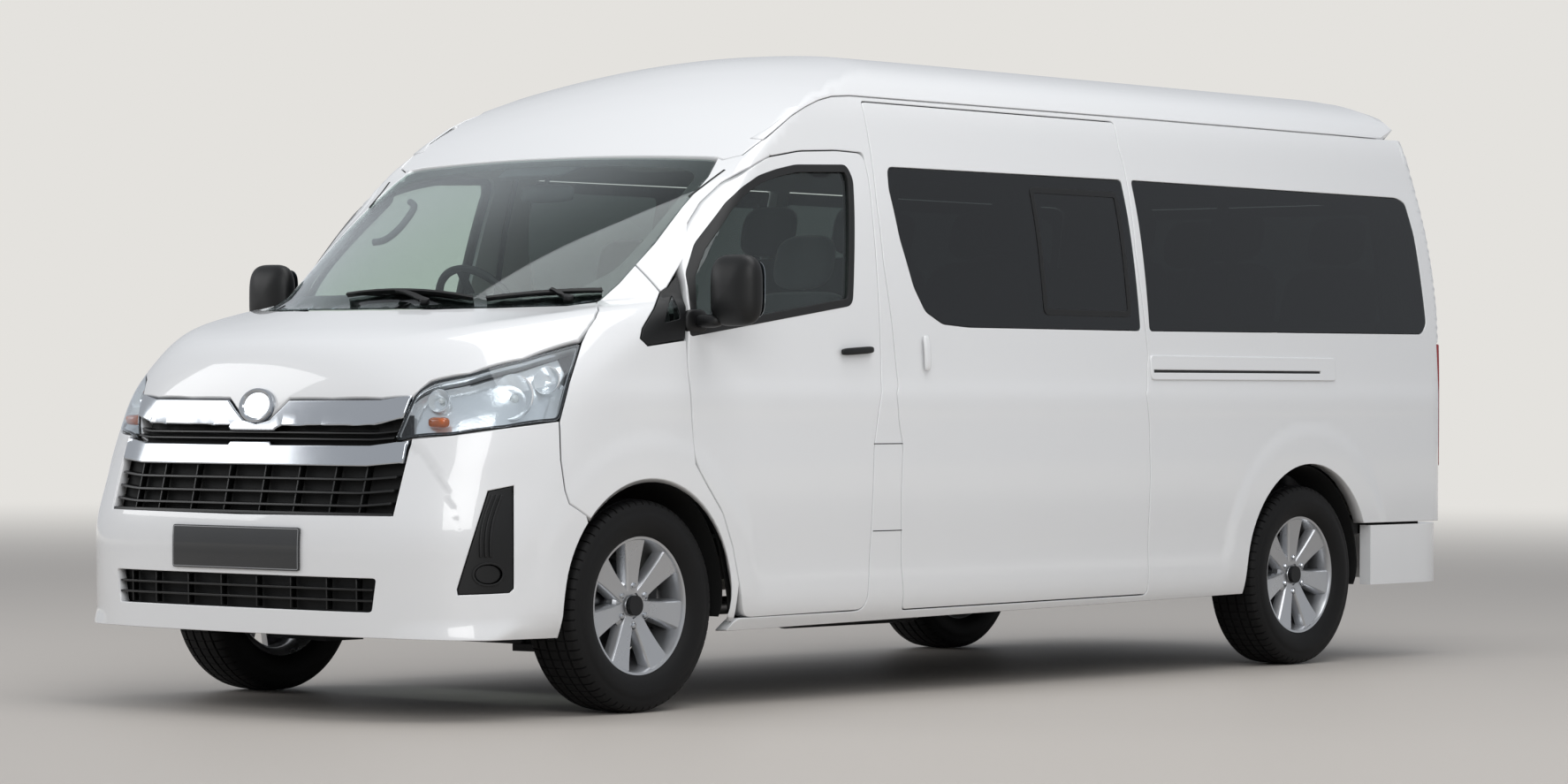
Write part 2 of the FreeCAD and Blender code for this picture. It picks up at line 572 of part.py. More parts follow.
def front_suspension():
    """The front cross member with an upper and a lower arm to each knuckle."""
    y = FRONT_AXLE_Y
    member = box(-455, 455, y - 60, y + 60, 210, 270)
    towers = [box(s * 430 - 30, s * 430 + 30, y - 45, y + 45, 210, 399) for s in (-1, 1)]
    solids = [member] + towers
    arms = []
    for z, root_z in ((TYRE_RADIUS - BALL_RISE, 215), (TYRE_RADIUS + BALL_RISE, 380)):
        outline = [(440, y - 90), (440, y + 90), (KINGPIN_X + 20, y + 24), (KINGPIN_X + 20, y - 24)]
        arm = prism_z(outline, z - 12, z + 12)
        arm = arm.cut(Part.makeCylinder(PIN_RADIUS + SPINDLE_FIT, 80, V(KINGPIN_X, y, z - 40)))
        arms += [arm, mirrored(arm)]
    upper_towers = [box(s * 445 - 15, s * 445 + 15, y - 90, y + 90, 390, 512) for s in (-1, 1)]
    solids += arms + upper_towers
    result = solids[0].fuse(solids[1:])
    rails = [box(s * 455 - 35.3, s * 455 + 35.3, -2700, 2700, 399.7, 500.3) for s in (-1, 1)]
    return result.cut(rails)


def rear_axle():
    """A beam axle with its differential and two leaf spring packs."""
    y = REAR_AXLE_Y
    half = [(0, 130), (70, 130), (170, 42), (HUB_FACE - 115, 42), (HUB_FACE - 115, 140), (HUB_FACE - 103, 140),
            (HUB_FACE - 103, HUB_BORE - SPINDLE_FIT), (HUB_FACE - 14, HUB_BORE - SPINDLE_FIT), (HUB_FACE - 14, 0)]
    outline = half + [(-x, r) for x, r in reversed(half[1:])]
    wire = polygon_wire([V(x, y, TYRE_RADIUS + r) for x, r in outline])
    beam = Part.Face(wire).revolve(V(0, y, TYRE_RADIUS), V(1, 0, 0), 360)
    springs = []
    for s in (-1, 1):
        x = s * 560
        springs.append(box(x - 30, x + 30, y - 620, y + 640, TYRE_RADIUS - 74, TYRE_RADIUS - 60))
        springs.append(box(x - 30, x + 30, y - 340, y + 350, TYRE_RADIUS - 60, TYRE_RADIUS - 38))
        springs.append(box(x - 30, x + 30, y - 635, y - 590, TYRE_RADIUS - 74, 499.7))
        springs.append(box(x - 30, x + 30, y + 610, y + 655, TYRE_RADIUS - 74, 499.7))
    return beam.fuse(springs)


def seat(x, y, z, width, back_height):
    """One seat: cushion, leaning back and head rest, as one padded solid on its base."""
    half = width / 2
    cushion = [(-260, 0), (250, 0), (250, 120), (-240, 150), (-270, 110)]
    back = [(180, 110), (300, 110), (300 + back_height * 0.24, 110 + back_height),
            (200 + back_height * 0.24, 110 + back_height)]
    lean = back_height * 0.24
    rest = [(215 + lean, 100 + back_height), (285 + lean, 100 + back_height), (340 + lean, 320 + back_height),
            (240 + lean, 320 + back_height)]
    solids = []
    for outline, reach in ((cushion, half), (back, half), (rest, 130)):
        solids.append(prism_x([(y + a, z + b) for a, b in outline], x - reach, x + reach))
    base = box(x - 90, x + 90, y - 200, y + 200, FLOOR_TOP, z)
    return solids[0].fuse(solids[1:] + [base])


def seats():
    add("front_seats", seat(-430, -1000, 740, 500, 560), seat(430, -1000, 740, 500, 560))
    rows = []
    for row_y in (10, 740, 1470, 2200):
        for seat_x in (-590, -130, 590):
            rows.append(seat(seat_x, row_y, 900, 440, 560))
    add("passenger_seats", *rows)


def dash(inner):
    outline = [(-2330, 1235), (-2000, 1250), (-1860, 1215), (-1790, 1130), (-1800, 1050), (-1870, 985), (-2330, 1010)]
    wide = [(y, z) for y, z in outline if y < -1850]
    board = prism_x(outline, -800, 800).fuse(prism_x(wide, -1000, 1000))
    for side in (-1, 1):
        moved = inner.copy()
        moved.translate(V(side * SEAT_FIT, 0, 0))
        board = board.common(moved)
    return board


COLUMN_LEAN = 58.0


def steering_wheel():
    section = [V(182 + 15 * math.cos(math.pi * k / 4), 0, 15 * math.sin(math.pi * k / 4)) for k in range(8)]
    ring = Part.Face(polygon_wire(section)).revolve(V(0, 0, 0), V(0, 0, 1), 360)
    hub = Part.makeCylinder(55, 60, V(0, 0, -50))
    spokes = [box(-182, 182, -14, 14, -20, 0), box(-12, 12, -182, 0, -20, 0)]
    wheel = ring.fuse([hub] + spokes)
    column = Part.makeCylinder(24, 560, V(0, 0, -570))
    wheel = wheel.fuse(column)
    wheel.rotate(V(0, 0, 0), V(1, 0, 0), -COLUMN_LEAN)
    wheel.translate(V(-430, -1360, 1330))
    return wheel


def column_clearance():
    hole = Part.makeCylinder(24.3, 600, V(0, 0, -570.3))
    hole.rotate(V(0, 0, 0), V(1, 0, 0), -COLUMN_LEAN)
    hole.translate(V(-430, -1360, 1330))
    return hole


def mirror(clear_of):
    """The left door mirror: a rounded housing on an arm that springs from the door's front corner."""
    housing = Part.makeBox(200, 95, 255, V(1000, -1800, 1250))
    housing = housing.makeChamfer(22, housing.Edges)
    arm = box(900, 1010, -1778, -1742, 1235, 1290).cut(clear_of)
    return housing.fuse(arm)


def build_mechanics(inner):
    add("floor", floor_pan(inner))
    liner_left = wheelhouse(FRONT_AXLE_Y, FRONT_ARCH_RADIUS + 16, FRONT_LINER_INNER, 300, 940)
    liner_rear = wheelhouse(REAR_AXLE_Y, REAR_ARCH_RADIUS - 0.3, WHEELHOUSE_INNER, 300, 920)
    liner_rear = liner_rear.common(inner).cut(box(685, 700, REAR_AXLE_Y - 60, REAR_AXLE_Y + 60, 290, 460))
    liner_left = liner_left.common(inner).cut(box(500, 515, FRONT_AXLE_Y - 110, FRONT_AXLE_Y + 110, 290, 530))
    add("wheel_liners", liner_rear, mirrored(liner_rear), liner_left, mirrored(liner_left))
    add("rear_axle", rear_axle())
    add("front_suspension", front_suspension())
    left_knuckle = knuckle()
    add("knuckle_left", left_knuckle)
    add("knuckle_right", mirrored(left_knuckle))
    for name, axle_y in (("front", FRONT_AXLE_Y), ("rear", REAR_AXLE_Y)):
        for side_name, side in (("left", 1), ("right", -1)):
            tyre, rim = wheel_parts(axle_y, side)
            add("tyre_" + name + "_" + side_name, tyre)
            add("rim_" + name + "_" + side_name, rim)
    add("engine", box(-330, 330, -2560, -1900, 500.3, 975))
    add("fuel_tank", box(-400, 300, 600, 1150, 300, 499.7))
    spare = Part.makeCylinder(320, 150, V(0, 2420, 349.7)).cut(Part.makeCylinder(90, 150, V(0, 2420, 349.7)))
    add("spare_wheel", spare)
    pipe = Part.makeCylinder(32, 3100, V(350, -1500, 300), V(0, 1, 0))
    muffler = Part.makeCylinder(95, 700, V(350, -600, 300), V(0, 1, 0))
    add("exhaust", pipe.fuse([muffler, box(335, 365, -460, -440, 350, 419.7)]))
    wheel = steering_wheel()
    add("steering_wheel", wheel)
    add("dash", dash(inner).cut(column_clearance()))
    seats()



if __name__ == "__main__":
    os.makedirs("parts", exist_ok=True)
    build_body()
    build_mechanics(envelope(WALL))
    outer = envelope(0)
    outer.translate(V(SEAT_FIT, 0, 0))
    left_mirror = mirror(outer)
    add("mirror_left", left_mirror)
    add("mirror_right", mirrored(left_mirror))
    for node, shape in parts.items():
        print(node, len(shape.Solids), round(shape.Volume / 1e6, 2), shape.isValid())
        shape.exportStep("parts/" + node + ".step")
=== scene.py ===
# A white high-roof minibus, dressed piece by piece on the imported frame.
# Everything is in metres: the front faces -Y, the vehicle's left side is +X and the ground is z = 0.
import bpy
import math
import numpy as np
from mathutils import Matrix, Vector
from mathutils.geometry import delaunay_2d_cdt


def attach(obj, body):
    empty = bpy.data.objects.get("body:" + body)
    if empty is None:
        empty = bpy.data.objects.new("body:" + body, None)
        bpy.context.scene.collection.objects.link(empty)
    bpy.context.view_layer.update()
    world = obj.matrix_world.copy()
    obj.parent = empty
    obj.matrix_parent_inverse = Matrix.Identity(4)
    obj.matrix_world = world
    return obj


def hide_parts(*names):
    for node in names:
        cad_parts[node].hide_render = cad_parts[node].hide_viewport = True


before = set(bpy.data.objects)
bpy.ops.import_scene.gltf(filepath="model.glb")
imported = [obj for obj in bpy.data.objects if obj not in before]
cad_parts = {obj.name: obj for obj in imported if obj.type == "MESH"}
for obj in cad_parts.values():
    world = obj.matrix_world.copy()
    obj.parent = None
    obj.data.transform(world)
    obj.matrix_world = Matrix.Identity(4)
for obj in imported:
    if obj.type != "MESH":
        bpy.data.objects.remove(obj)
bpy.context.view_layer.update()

# The camera stands ahead of the left front corner, one metre above the ground, with a long lens.
PHOTO_WIDTH = 1774
FOCAL_PIXELS = 5255.0
SENSOR_WIDTH = 36.0
CAMERA_PLACE = (11.0343, -13.3392, 1.0293)
CAMERA_AZIMUTH = math.radians(40.001)
CAMERA_PITCH = math.radians(-0.0792)
CAMERA_ROLL = math.radians(0.2307)

lens = bpy.data.cameras.new("photo_camera")
lens.sensor_width = SENSOR_WIDTH
lens.lens = FOCAL_PIXELS / PHOTO_WIDTH * SENSOR_WIDTH
camera = bpy.data.objects.new("photo_camera", lens)
bpy.context.scene.collection.objects.link(camera)
back = Vector((math.sin(CAMERA_AZIMUTH) * math.cos(CAMERA_PITCH),
               -math.cos(CAMERA_AZIMUTH) * math.cos(CAMERA_PITCH), math.sin(CAMERA_PITCH)))
level_right = Vector((0, 0, 1)).cross(back).normalized()
level_up = back.cross(level_right)
right = math.cos(CAMERA_ROLL) * level_right + math.sin(CAMERA_ROLL) * level_up
up = -math.sin(CAMERA_ROLL) * level_right + math.cos(CAMERA_ROLL) * level_up
turn = Matrix((right, up, back)).transposed().to_4x4()
camera.matrix_world = Matrix.Translation(CAMERA_PLACE) @ turn
bpy.context.scene.camera = camera
bpy.context.scene.view_settings.view_transform = "Standard"

# The studio is a pale stone-coloured floor that fades into an even pale backdrop, under large soft lights.
FLOOR_COLOUR = "B9B3AC"
BACKDROP_COLOUR = "E4E2DE"
SKY_STRENGTH = 0.60
SKY_COLOUR = "F2F5FA"
FLOOR_REACH = 90.0
FADE_START, FADE_END = 9.0, 30.0


def linear(hex_colour, alpha=1.0):
    """The linear colour of an sRGB hex value: each channel through the sRGB curve."""
    channels = [int(hex_colour[i:i + 2], 16) / 255 for i in (0, 2, 4)]
    return tuple(c / 12.92 if c <= 0.04045 else ((c + 0.055) / 1.055) ** 2.4 for c in channels) + (alpha,)


def new_material(name):
    """An empty material with its node tree and output."""
    material = bpy.data.materials.new(name)
    material.use_nodes = True
    material.node_tree.nodes.clear()
    return material


def node(tree, kind, links=None, **settings):
    """Add a node: settings name its properties or, as in_NAME, its sockets; links join sockets to other nodes."""
    made = tree.nodes.new(kind)
    for key, value in settings.items():
        if key.startswith("in_"):
            made.inputs[key[3:].replace("_", " ")].default_value = value
        else:
            setattr(made, key, value)
    for key, source in (links or {}).items():
        tree.links.new(source, made.inputs[key])
    return made


floor_material = new_material("pale_floor")
tree = floor_material.node_tree
stone = node(tree, "ShaderNodeBsdfPrincipled", in_Base_Color=linear(FLOOR_COLOUR), in_Roughness=0.55)
glow = node(tree, "ShaderNodeEmission", in_Color=linear(BACKDROP_COLOUR))
place = node(tree, "ShaderNodeTexCoord")
distance = node(tree, "ShaderNodeVectorMath", {0: place.outputs["Object"]}, operation="LENGTH")
fade = node(tree, "ShaderNodeMapRange", {"Value": distance.outputs["Value"]}, interpolation_type="SMOOTHSTEP",
            in_From_Min=FADE_START, in_From_Max=FADE_END)
blend_floor = node(tree, "ShaderNodeMixShader", {0: fade.outputs[0], 1: stone.outputs[0], 2: glow.outputs[0]})
node(tree, "ShaderNodeOutputMaterial", {"Surface": blend_floor.outputs[0]})

rings = np.array([0.0, 1.0, 3.0, 6.0, 9.0, 12.0, 18.0, 26.0, 40.0, FLOOR_REACH])
turns = np.linspace(0, 2 * math.pi, 48, endpoint=False)
floor_points = np.stack([np.outer(rings[1:], np.cos(turns)).ravel(), np.outer(rings[1:], np.sin(turns)).ravel(),
                         np.zeros(turns.size * (rings.size - 1))], axis=1)
floor_faces = []
ring_index = np.arange(turns.size)
for k in range(rings.size - 2):
    a = k * turns.size + ring_index
    b = k * turns.size + np.roll(ring_index, -1)
    floor_faces += np.stack([a, a + turns.size, b + turns.size, b], axis=1).tolist()
floor_faces.append(ring_index.tolist())
floor_mesh = bpy.data.meshes.new("studio_floor")
floor_mesh.from_pydata(floor_points.tolist(), [], floor_faces)
floor_mesh.materials.append(floor_material)
floor_object = bpy.data.objects.new("studio_floor", floor_mesh)
bpy.context.scene.collection.objects.link(floor_object)

world = bpy.data.worlds.new("studio")
bpy.context.scene.world = world
world.use_nodes = True
tree = world.node_tree
tree.nodes.clear()
path = node(tree, "ShaderNodeLightPath")
seen = node(tree, "ShaderNodeMath", {0: path.outputs["Is Camera Ray"], 1: path.outputs["Is Transmission Ray"]},
            operation="MAXIMUM")
sky = node(tree, "ShaderNodeBackground", in_Color=linear(SKY_COLOUR), in_Strength=SKY_STRENGTH)
plain = node(tree, "ShaderNodeBackground", in_Color=linear(BACKDROP_COLOUR))
mix = node(tree, "ShaderNodeMixShader", {0: seen.outputs[0], 1: sky.outputs[0], 2: plain.outputs[0]})
node(tree, "ShaderNodeOutputWorld", {"Surface": mix.outputs[0]})


def soft_light(name, place_at, aim_at, size, power):
    """A square area light at a place, facing a point."""
    lamp = bpy.data.lights.new(name, "AREA")
    lamp.shape = "RECTANGLE"
    lamp.size, lamp.size_y = size
    lamp.energy = power
    made = bpy.data.objects.new(name, lamp)
    bpy.context.scene.collection.objects.link(made)
    made.location = place_at
    made.rotation_euler = (Vector(aim_at) - Vector(place_at)).to_track_quat("-Z", "Y").to_euler()


soft_light("overhead", (2.2, -0.8, 8.0), (0.0, 0.0, 1.0), (4.6, 9.0), 330.0)
soft_light("front_left", (9.0, -10.0, 6.0), (0.0, -0.5, 1.0), (6.0, 5.0), 400.0)
soft_light("front_right", (-9.0, -8.0, 5.0), (0.0, -1.0, 1.0), (5.0, 5.0), 220.0)

# The body's outer form: pressed steel panels that all lie on one smooth surface. It is worked out as the rounded
# meeting of a swept section, a plan that rounds the nose and tail, and a crowned side view.
SECTION_CENTRE = 1.2
SECTION_SIDE = np.array([(0.900, 0.10), (0.9145, 0.24), (0.9477, 0.29), (0.9672, 0.44), (0.972, 0.60), (0.9745, 0.84),
                         (0.9740, 0.98), (0.9725, 1.045), (0.9655, 1.09), (0.9620, 1.12), (0.9477, 1.30),
                         (0.9224, 1.53), (0.8863, 1.74), (0.8356, 1.94), (0.7849, 2.088), (0.7254, 2.16),
                         (0.5996, 2.22), (0.4300, 2.258), (0.0, 2.280)])
NOSE_PLAN = np.array([(0.18, -2.940, -2.20, 4.0), (0.60, -2.951, -2.20, 4.0), (1.05, -2.850, -2.00, 3.2),
                      (1.35, -2.750, -1.30, 2.2), (1.87, -2.110, -0.90, 2.4), (2.32, -2.000, -0.50, 2.4)])
PLAN_HALF = 0.981
TAIL_START, TAIL_DEPTH, TAIL_POWER = 2.6575, 0.300, 3.4
BONNET_SIDE_VIEW = [[(-2.868, 0.985), (-2.850, 1.090), (-2.775, 1.195), (-2.640, 1.262), (-2.450, 1.326)],
                    [(-2.760, 1.000), (-2.735, 1.120), (-2.610, 1.215), (-2.250, 1.295), (-1.700, 1.370)]]
SCREEN_SIDE_VIEW = [[(-2.450, 1.326), (-1.960, 1.618), (-1.437, 1.869)],
                    [(-1.700, 1.370), (-1.530, 1.612), (-1.371, 1.834)]]
DOME_SIDE_VIEW = [[(-1.437, 1.869), (-1.230, 2.010), (-0.960, 2.145), (-0.680, 2.235), (-0.380, 2.282)],
                  [(-1.371, 1.834), (-1.169, 1.960), (-0.940, 2.052), (-0.600, 2.125), (-0.380, 2.165)]]
TAIL_SIDE_VIEW = [[(2.480, 2.300), (2.640, 2.275), (2.770, 2.200), (2.815, 2.095)],
                  [(2.440, 2.300), (2.600, 2.275), (2.730, 2.190), (2.770, 2.080)]]
REAR_SIDE_VIEW = [[(2.815, 2.095), (2.858, 1.800), (2.885, 1.440), (2.893, 0.600), (2.893, 0.05)],
                  [(2.770, 2.080), (2.798, 1.800), (2.825, 1.440), (2.833, 0.600), (2.833, 0.05)]]
FRONT_AXLE_Y, REAR_AXLE_Y, AXLE_Z = -2.020, 1.840, 0.350
ARCH_Z = AXLE_Z + 0.005
FRONT_ARCH, REAR_ARCH = 0.408, 0.425


def curve_through(points, samples=60):
    """A natural cubic spline through points, with the chord lengths as its parameter, sampled evenly."""
    points = np.asarray(points, float)
    knots = np.concatenate([[0], np.cumsum(np.linalg.norm(np.diff(points, axis=0), axis=1))])
    h = np.diff(knots)
    count = len(points)
    system = np.eye(count)
    target = np.zeros_like(points)
    for i in range(1, count - 1):
        system[i, i - 1:i + 2] = h[i - 1], 2 * (h[i - 1] + h[i]), h[i]
        target[i] = 6 * ((points[i + 1] - points[i]) / h[i] - (points[i] - points[i - 1]) / h[i - 1])
    bend = np.linalg.solve(system, target)
    at = np.linspace(0, knots[-1], samples)
    i = np.clip(np.searchsorted(knots, at, side="right") - 1, 0, count - 2)
    a = ((knots[i + 1] - at) / h[i])[:, None]
    b = ((at - knots[i]) / h[i])[:, None]
    bow = ((a ** 3 - a) * bend[i] + (b ** 3 - b) * bend[i + 1]) * (h[i] ** 2)[:, None] / 6
    return a * points[i] + b * points[i + 1] + bow


section = curve_through(SECTION_SIDE, 1200)
section_angle = np.arctan2(section[:, 0], section[:, 1] - SECTION_CENTRE)[::-1]
section_reach = np.hypot(section[:, 0], section[:, 1] - SECTION_CENTRE)[::-1]
section_slope = np.gradient(section_reach, section_angle) / section_reach
section_cosine = 1 / np.sqrt(1 + section_slope ** 2)

PLAN_STEP, PLAN_EASE, PLAN_STEPS = 0.005, 0.05, 40
plan_levels = np.linspace(0.1, 2.4, 461)
plan_blur = np.exp(-0.5 * (np.arange(-PLAN_STEPS, PLAN_STEPS + 1) * PLAN_STEP / PLAN_EASE) ** 2)
plan_blur /= plan_blur.sum()
plan_values = [np.convolve(np.pad(np.interp(plan_levels, NOSE_PLAN[:, 0], NOSE_PLAN[:, k]), PLAN_STEPS, mode="edge"),
                           plan_blur, mode="valid") for k in (1, 2, 3)]

CROWN_STEPS = 41
crown_y = np.linspace(-2.95, 2.83, 2400)
crown_table = np.empty((CROWN_STEPS, crown_y.size))
rear_z = np.linspace(0.1, 2.095, 400)
rear_table = np.empty((CROWN_STEPS, rear_z.size))
stretches = [[curve_through(line, 200) for line in pair]
             for pair in (BONNET_SIDE_VIEW, SCREEN_SIDE_VIEW, DOME_SIDE_VIEW, TAIL_SIDE_VIEW)]
rear_pair = [curve_through(line, 200) for line in REAR_SIDE_VIEW]
for k in range(CROWN_STEPS):
    share = k / (CROWN_STEPS - 1)
    profile = np.concatenate([middle + share * (outer - middle) for middle, outer in stretches])
    crown_table[k] = np.interp(crown_y, profile[:, 0], profile[:, 1])
    rear_line = (rear_pair[0] + share * (rear_pair[1] - rear_pair[0]))[::-1]
    rear_table[k] = np.interp(rear_z, rear_line[:, 1], rear_line[:, 0])
crown_slope = np.gradient(crown_table, crown_y, axis=1)


def look_up(table, share, at, start, end):
    """Bilinear reading of a table whose rows are shares from 0 to 1 and whose columns run evenly from start to end."""
    row = np.clip(share, 0, 1) * (table.shape[0] - 1)
    column = np.clip((at - start) / (end - start), 0, 1) * (table.shape[1] - 1)
    i = np.minimum(row.astype(int), table.shape[0] - 2)
    j = np.minimum(column.astype(int), table.shape[1] - 2)
    a, b = row - i, column - j
    low = table[i, j] * (1 - b) + table[i, j + 1] * b
    high = table[i + 1, j] * (1 - b) + table[i + 1, j + 1] * b
    return low * (1 - a) + high * a


def step_up(value, start, end):
    """0 before start, 1 after end, and a cubic ease in between."""
    t = np.clip((value - start) / (end - start), 0, 1)
    return t * t * (3 - 2 * t)


def rounded_max(a, b, radius):
    """The larger of two distances, eased over a band where they differ by less than the radius."""
    ease = np.maximum(radius - np.abs(a - b), 0) / radius
    return np.maximum(a, b) + ease * ease * radius / 4


def side_relief(y, z):
    """How far the pressing stands out of the plain section: soft lips round the wheel arches."""
    rear = np.hypot(y - REAR_AXLE_Y, z - ARCH_Z)
    front = np.hypot(y - FRONT_AXLE_Y, z - ARCH_Z)
    lip = 0.010 * (1 - step_up(rear, 0.525, 0.60)) + 0.008 * (1 - step_up(front, 0.50, 0.575))
    return lip * step_up(z, 0.30, 0.46)


def body_distance(x, y, z):
    """Roughly how far a point lies outside the body's outer form, negative inside: the rounded largest of the
    distances to the section, the plan of the nose and tail, the bonnet-to-roof line and the rear face."""
    wide = np.abs(x)
    angle = np.arctan2(wide, z - SECTION_CENTRE)
    reach = np.hypot(wide, z - SECTION_CENTRE)
    level = (reach - np.interp(angle, section_angle, section_reach)) * np.interp(angle, section_angle, section_cosine)
    level = level - side_relief(y, z) * step_up(wide, 0.6, 0.8)
    front, straight, power = [np.interp(z, plan_levels, values) for values in plan_values]
    ahead = np.maximum(straight - y, 0) / (straight - front)
    behind = np.maximum(y - TAIL_START, 0) / TAIL_DEPTH
    power = np.where(y > 0, TAIL_POWER, power)
    along = np.where(y > 0, behind, ahead)
    length = np.where(y > 0, TAIL_DEPTH, straight - front)
    across = wide / PLAN_HALF
    total = across ** power + along ** power + 1e-12
    size = total ** (1 / power)
    steep = np.hypot(across ** (power - 1) / PLAN_HALF, along ** (power - 1) / length) * size / total
    plan = (size - 1) / np.maximum(steep, 1e-6)
    share = x ** 2
    crown = z - look_up(crown_table, share, y, crown_y[0], crown_y[-1])
    slope = look_up(crown_slope, share, y, crown_y[0], crown_y[-1])
    crown = crown / np.sqrt(1 + slope ** 2)
    rear = y - look_up(rear_table, share, z, rear_z[0], rear_z[-1])
    result = rounded_max(level, plan, 0.012)
    radius = 0.010 + 0.045 * (1 - step_up(z, 1.85, 2.1)) - 0.02 * step_up(z, 1.30, 1.45) * (1 - step_up(z, 1.85, 2.1))
    result = rounded_max(result, crown, radius)
    return rounded_max(result, rear, 0.03)


# Ways of looking at the body. Each view gives the start and direction of a ray for flat coordinates (u, v), with
# counter-clockwise outlines facing outwards, and turns points back into flat coordinates.
NOSE_AXIS_Y = -1.70
TAIL_AXIS_Y = 1.75
ROOF_TURN_Y = 2.3
ROOF_TURN_REACH = 0.9
HALVINGS, SLOPE_STEP = 24, 0.0015


def straight_view(direction, start):
    """Parallel rays along a direction from a plane at a start distance: u runs level across them and v upwards."""
    way = np.array(direction, float) / np.linalg.norm(direction)
    across = np.cross((0, 0, 1), way)
    across /= np.linalg.norm(across)
    upward = np.cross(way, across)

    def rays(u, v):
        return np.outer(u, across) + np.outer(v, upward) + start * way, np.broadcast_to(way, (len(u), 3))
    rays.flatten = lambda points: np.stack([points @ across, points @ upward], -1)
    return rays


from_side = straight_view((1, 0, 0), 0.0)
from_rear = straight_view((0, 1, 0), 1.5)
from_front = straight_view((0, -1, 0), 0.9)
from_corner = straight_view((0.72, -0.42, 0.55), 1.2)
over_bonnet = straight_view((0, -0.6, 0.8), 1.6)
over_screen = straight_view((0, -0.5, 0.87), 1.6)


def round_nose(u, v):
    """Round an upright axis behind the nose: u is the angle to the left and v is z."""
    return np.stack([0 * u, 0 * u + NOSE_AXIS_Y, v], -1), np.stack([np.sin(u), -np.cos(u), 0 * u], -1)


def round_tail(u, v):
    """Round an upright axis ahead of the tail: u is the angle from the left side backwards and v is z."""
    return np.stack([0 * u, 0 * u + TAIL_AXIS_Y, v], -1), np.stack([np.cos(u), np.sin(u), 0 * u], -1)


def over_roof(u, v):
    """Round a long axis inside the cabin: u is the angle from upright to the left and v is y. Near the tail the rays
    tilt back, and v goes on as the length of their turn."""
    tilt = np.maximum(v - ROOF_TURN_Y, 0) / ROOF_TURN_REACH
    starts = np.stack([0 * u, np.minimum(v, ROOF_TURN_Y), 0 * u + SECTION_CENTRE], -1)
    return starts, np.stack([np.sin(u) * np.cos(tilt), np.sin(tilt), np.cos(u) * np.cos(tilt)], -1)


def flatten_roof(points):
    """The flat coordinates of points for over_roof."""
    x, y, z = points.T
    tilt = np.arctan2(np.maximum(y - ROOF_TURN_Y, 0), np.hypot(x, z - SECTION_CENTRE))
    return np.stack([np.arctan2(x, z - SECTION_CENTRE), np.minimum(y, ROOF_TURN_Y) + tilt * ROOF_TURN_REACH], -1)


round_nose.flatten = lambda points: np.stack([np.arctan2(points[:, 0], NOSE_AXIS_Y - points[:, 1]), points[:, 2]], -1)
round_tail.flatten = lambda points: np.stack([np.arctan2(points[:, 1] - TAIL_AXIS_Y, points[:, 0]), points[:, 2]], -1)
over_roof.flatten = flatten_roof


def on_body(view, flat, form=None, reach=2.2):
    """Where rays in a view leave the body: the zero of its distance by halving an interval, with the outward
    normal from the distance's slope."""
    form = form or body_distance
    starts, ways = view(flat[:, 0], flat[:, 1])
    low = np.zeros(len(flat))
    high = np.full(len(flat), reach)
    for _ in range(HALVINGS):
        middle = (low + high) / 2
        outside = form(*(starts + ways * middle[:, None]).T) > 0
        high = np.where(outside, middle, high)
        low = np.where(outside, low, middle)
    points = starts + ways * low[:, None]
    offsets = np.eye(3) * SLOPE_STEP
    normals = np.stack([form(*(points + offset).T) - form(*(points - offset).T) for offset in offsets], -1)
    normals /= np.maximum(np.linalg.norm(normals, axis=1), 1e-9)[:, None]
    return points, normals, ways


SMALLEST_ROUNDING = 0.009
LEAST_STEP = 0.004
GRID_PART = 4000


def rounded_outline(corners, radius=0.02, step=0.03):
    """A closed outline with each corner eased by a parabola and its edges divided evenly. A corner may give its own
    radius as a third number, and a small one leaves it as one point."""
    corners = [(c[0], c[1], c[2] if len(c) > 2 else radius) for c in corners]
    result = []
    count = len(corners)
    for i in range(count):
        before = np.array(corners[i - 1][:2])
        here = np.array(corners[i][:2])
        after = np.array(corners[(i + 1) % count][:2])
        to_before, to_after = before - here, after - here
        size = min(corners[i][2], 0.45 * np.linalg.norm(to_before), 0.45 * np.linalg.norm(to_after))
        size = 0 if size < SMALLEST_ROUNDING else size
        start = here + to_before / np.linalg.norm(to_before) * size
        end = here + to_after / np.linalg.norm(to_after) * size
        t = np.linspace(0, 1, 6 if size else 1)[:, None]
        result.append((1 - t) ** 2 * start + 2 * t * (1 - t) * here + t ** 2 * end)
    loop = np.concatenate(result)
    following = np.roll(loop, -1, axis=0)
    pieces = np.maximum(np.ceil(np.linalg.norm(following - loop, axis=1) / step).astype(int), 1)
    index = np.repeat(np.arange(len(loop)), pieces)
    along = (np.arange(index.size) - np.repeat(np.cumsum(pieces) - pieces, pieces)) / pieces[index]
    return loop[index] + (following - loop)[index] * along[:, None]


def signed_area(loop):
    """The area within a closed outline, negative if it runs clockwise."""
    x, y = loop.T
    return 0.5 * np.sum(x * np.roll(y, -1) - np.roll(x, -1) * y)


def inset(loop, distance):
    """Move each point of a closed outline to its left by a distance, along the mean normal of its two edges."""
    forward = np.roll(loop, -1, axis=0) - loop
    forward /= np.maximum(np.linalg.norm(forward, axis=1), 1e-9)[:, None]
    normal = np.stack([-forward[:, 1], forward[:, 0]], -1)
    mean = normal + np.roll(normal, 1, axis=0)
    mean /= np.maximum(np.linalg.norm(mean, axis=1), 1e-9)[:, None]
    stretch = 1 / np.clip(np.sum(mean * normal, axis=1), 0.5, 1)
    return loop + mean * (distance * stretch)[:, None]


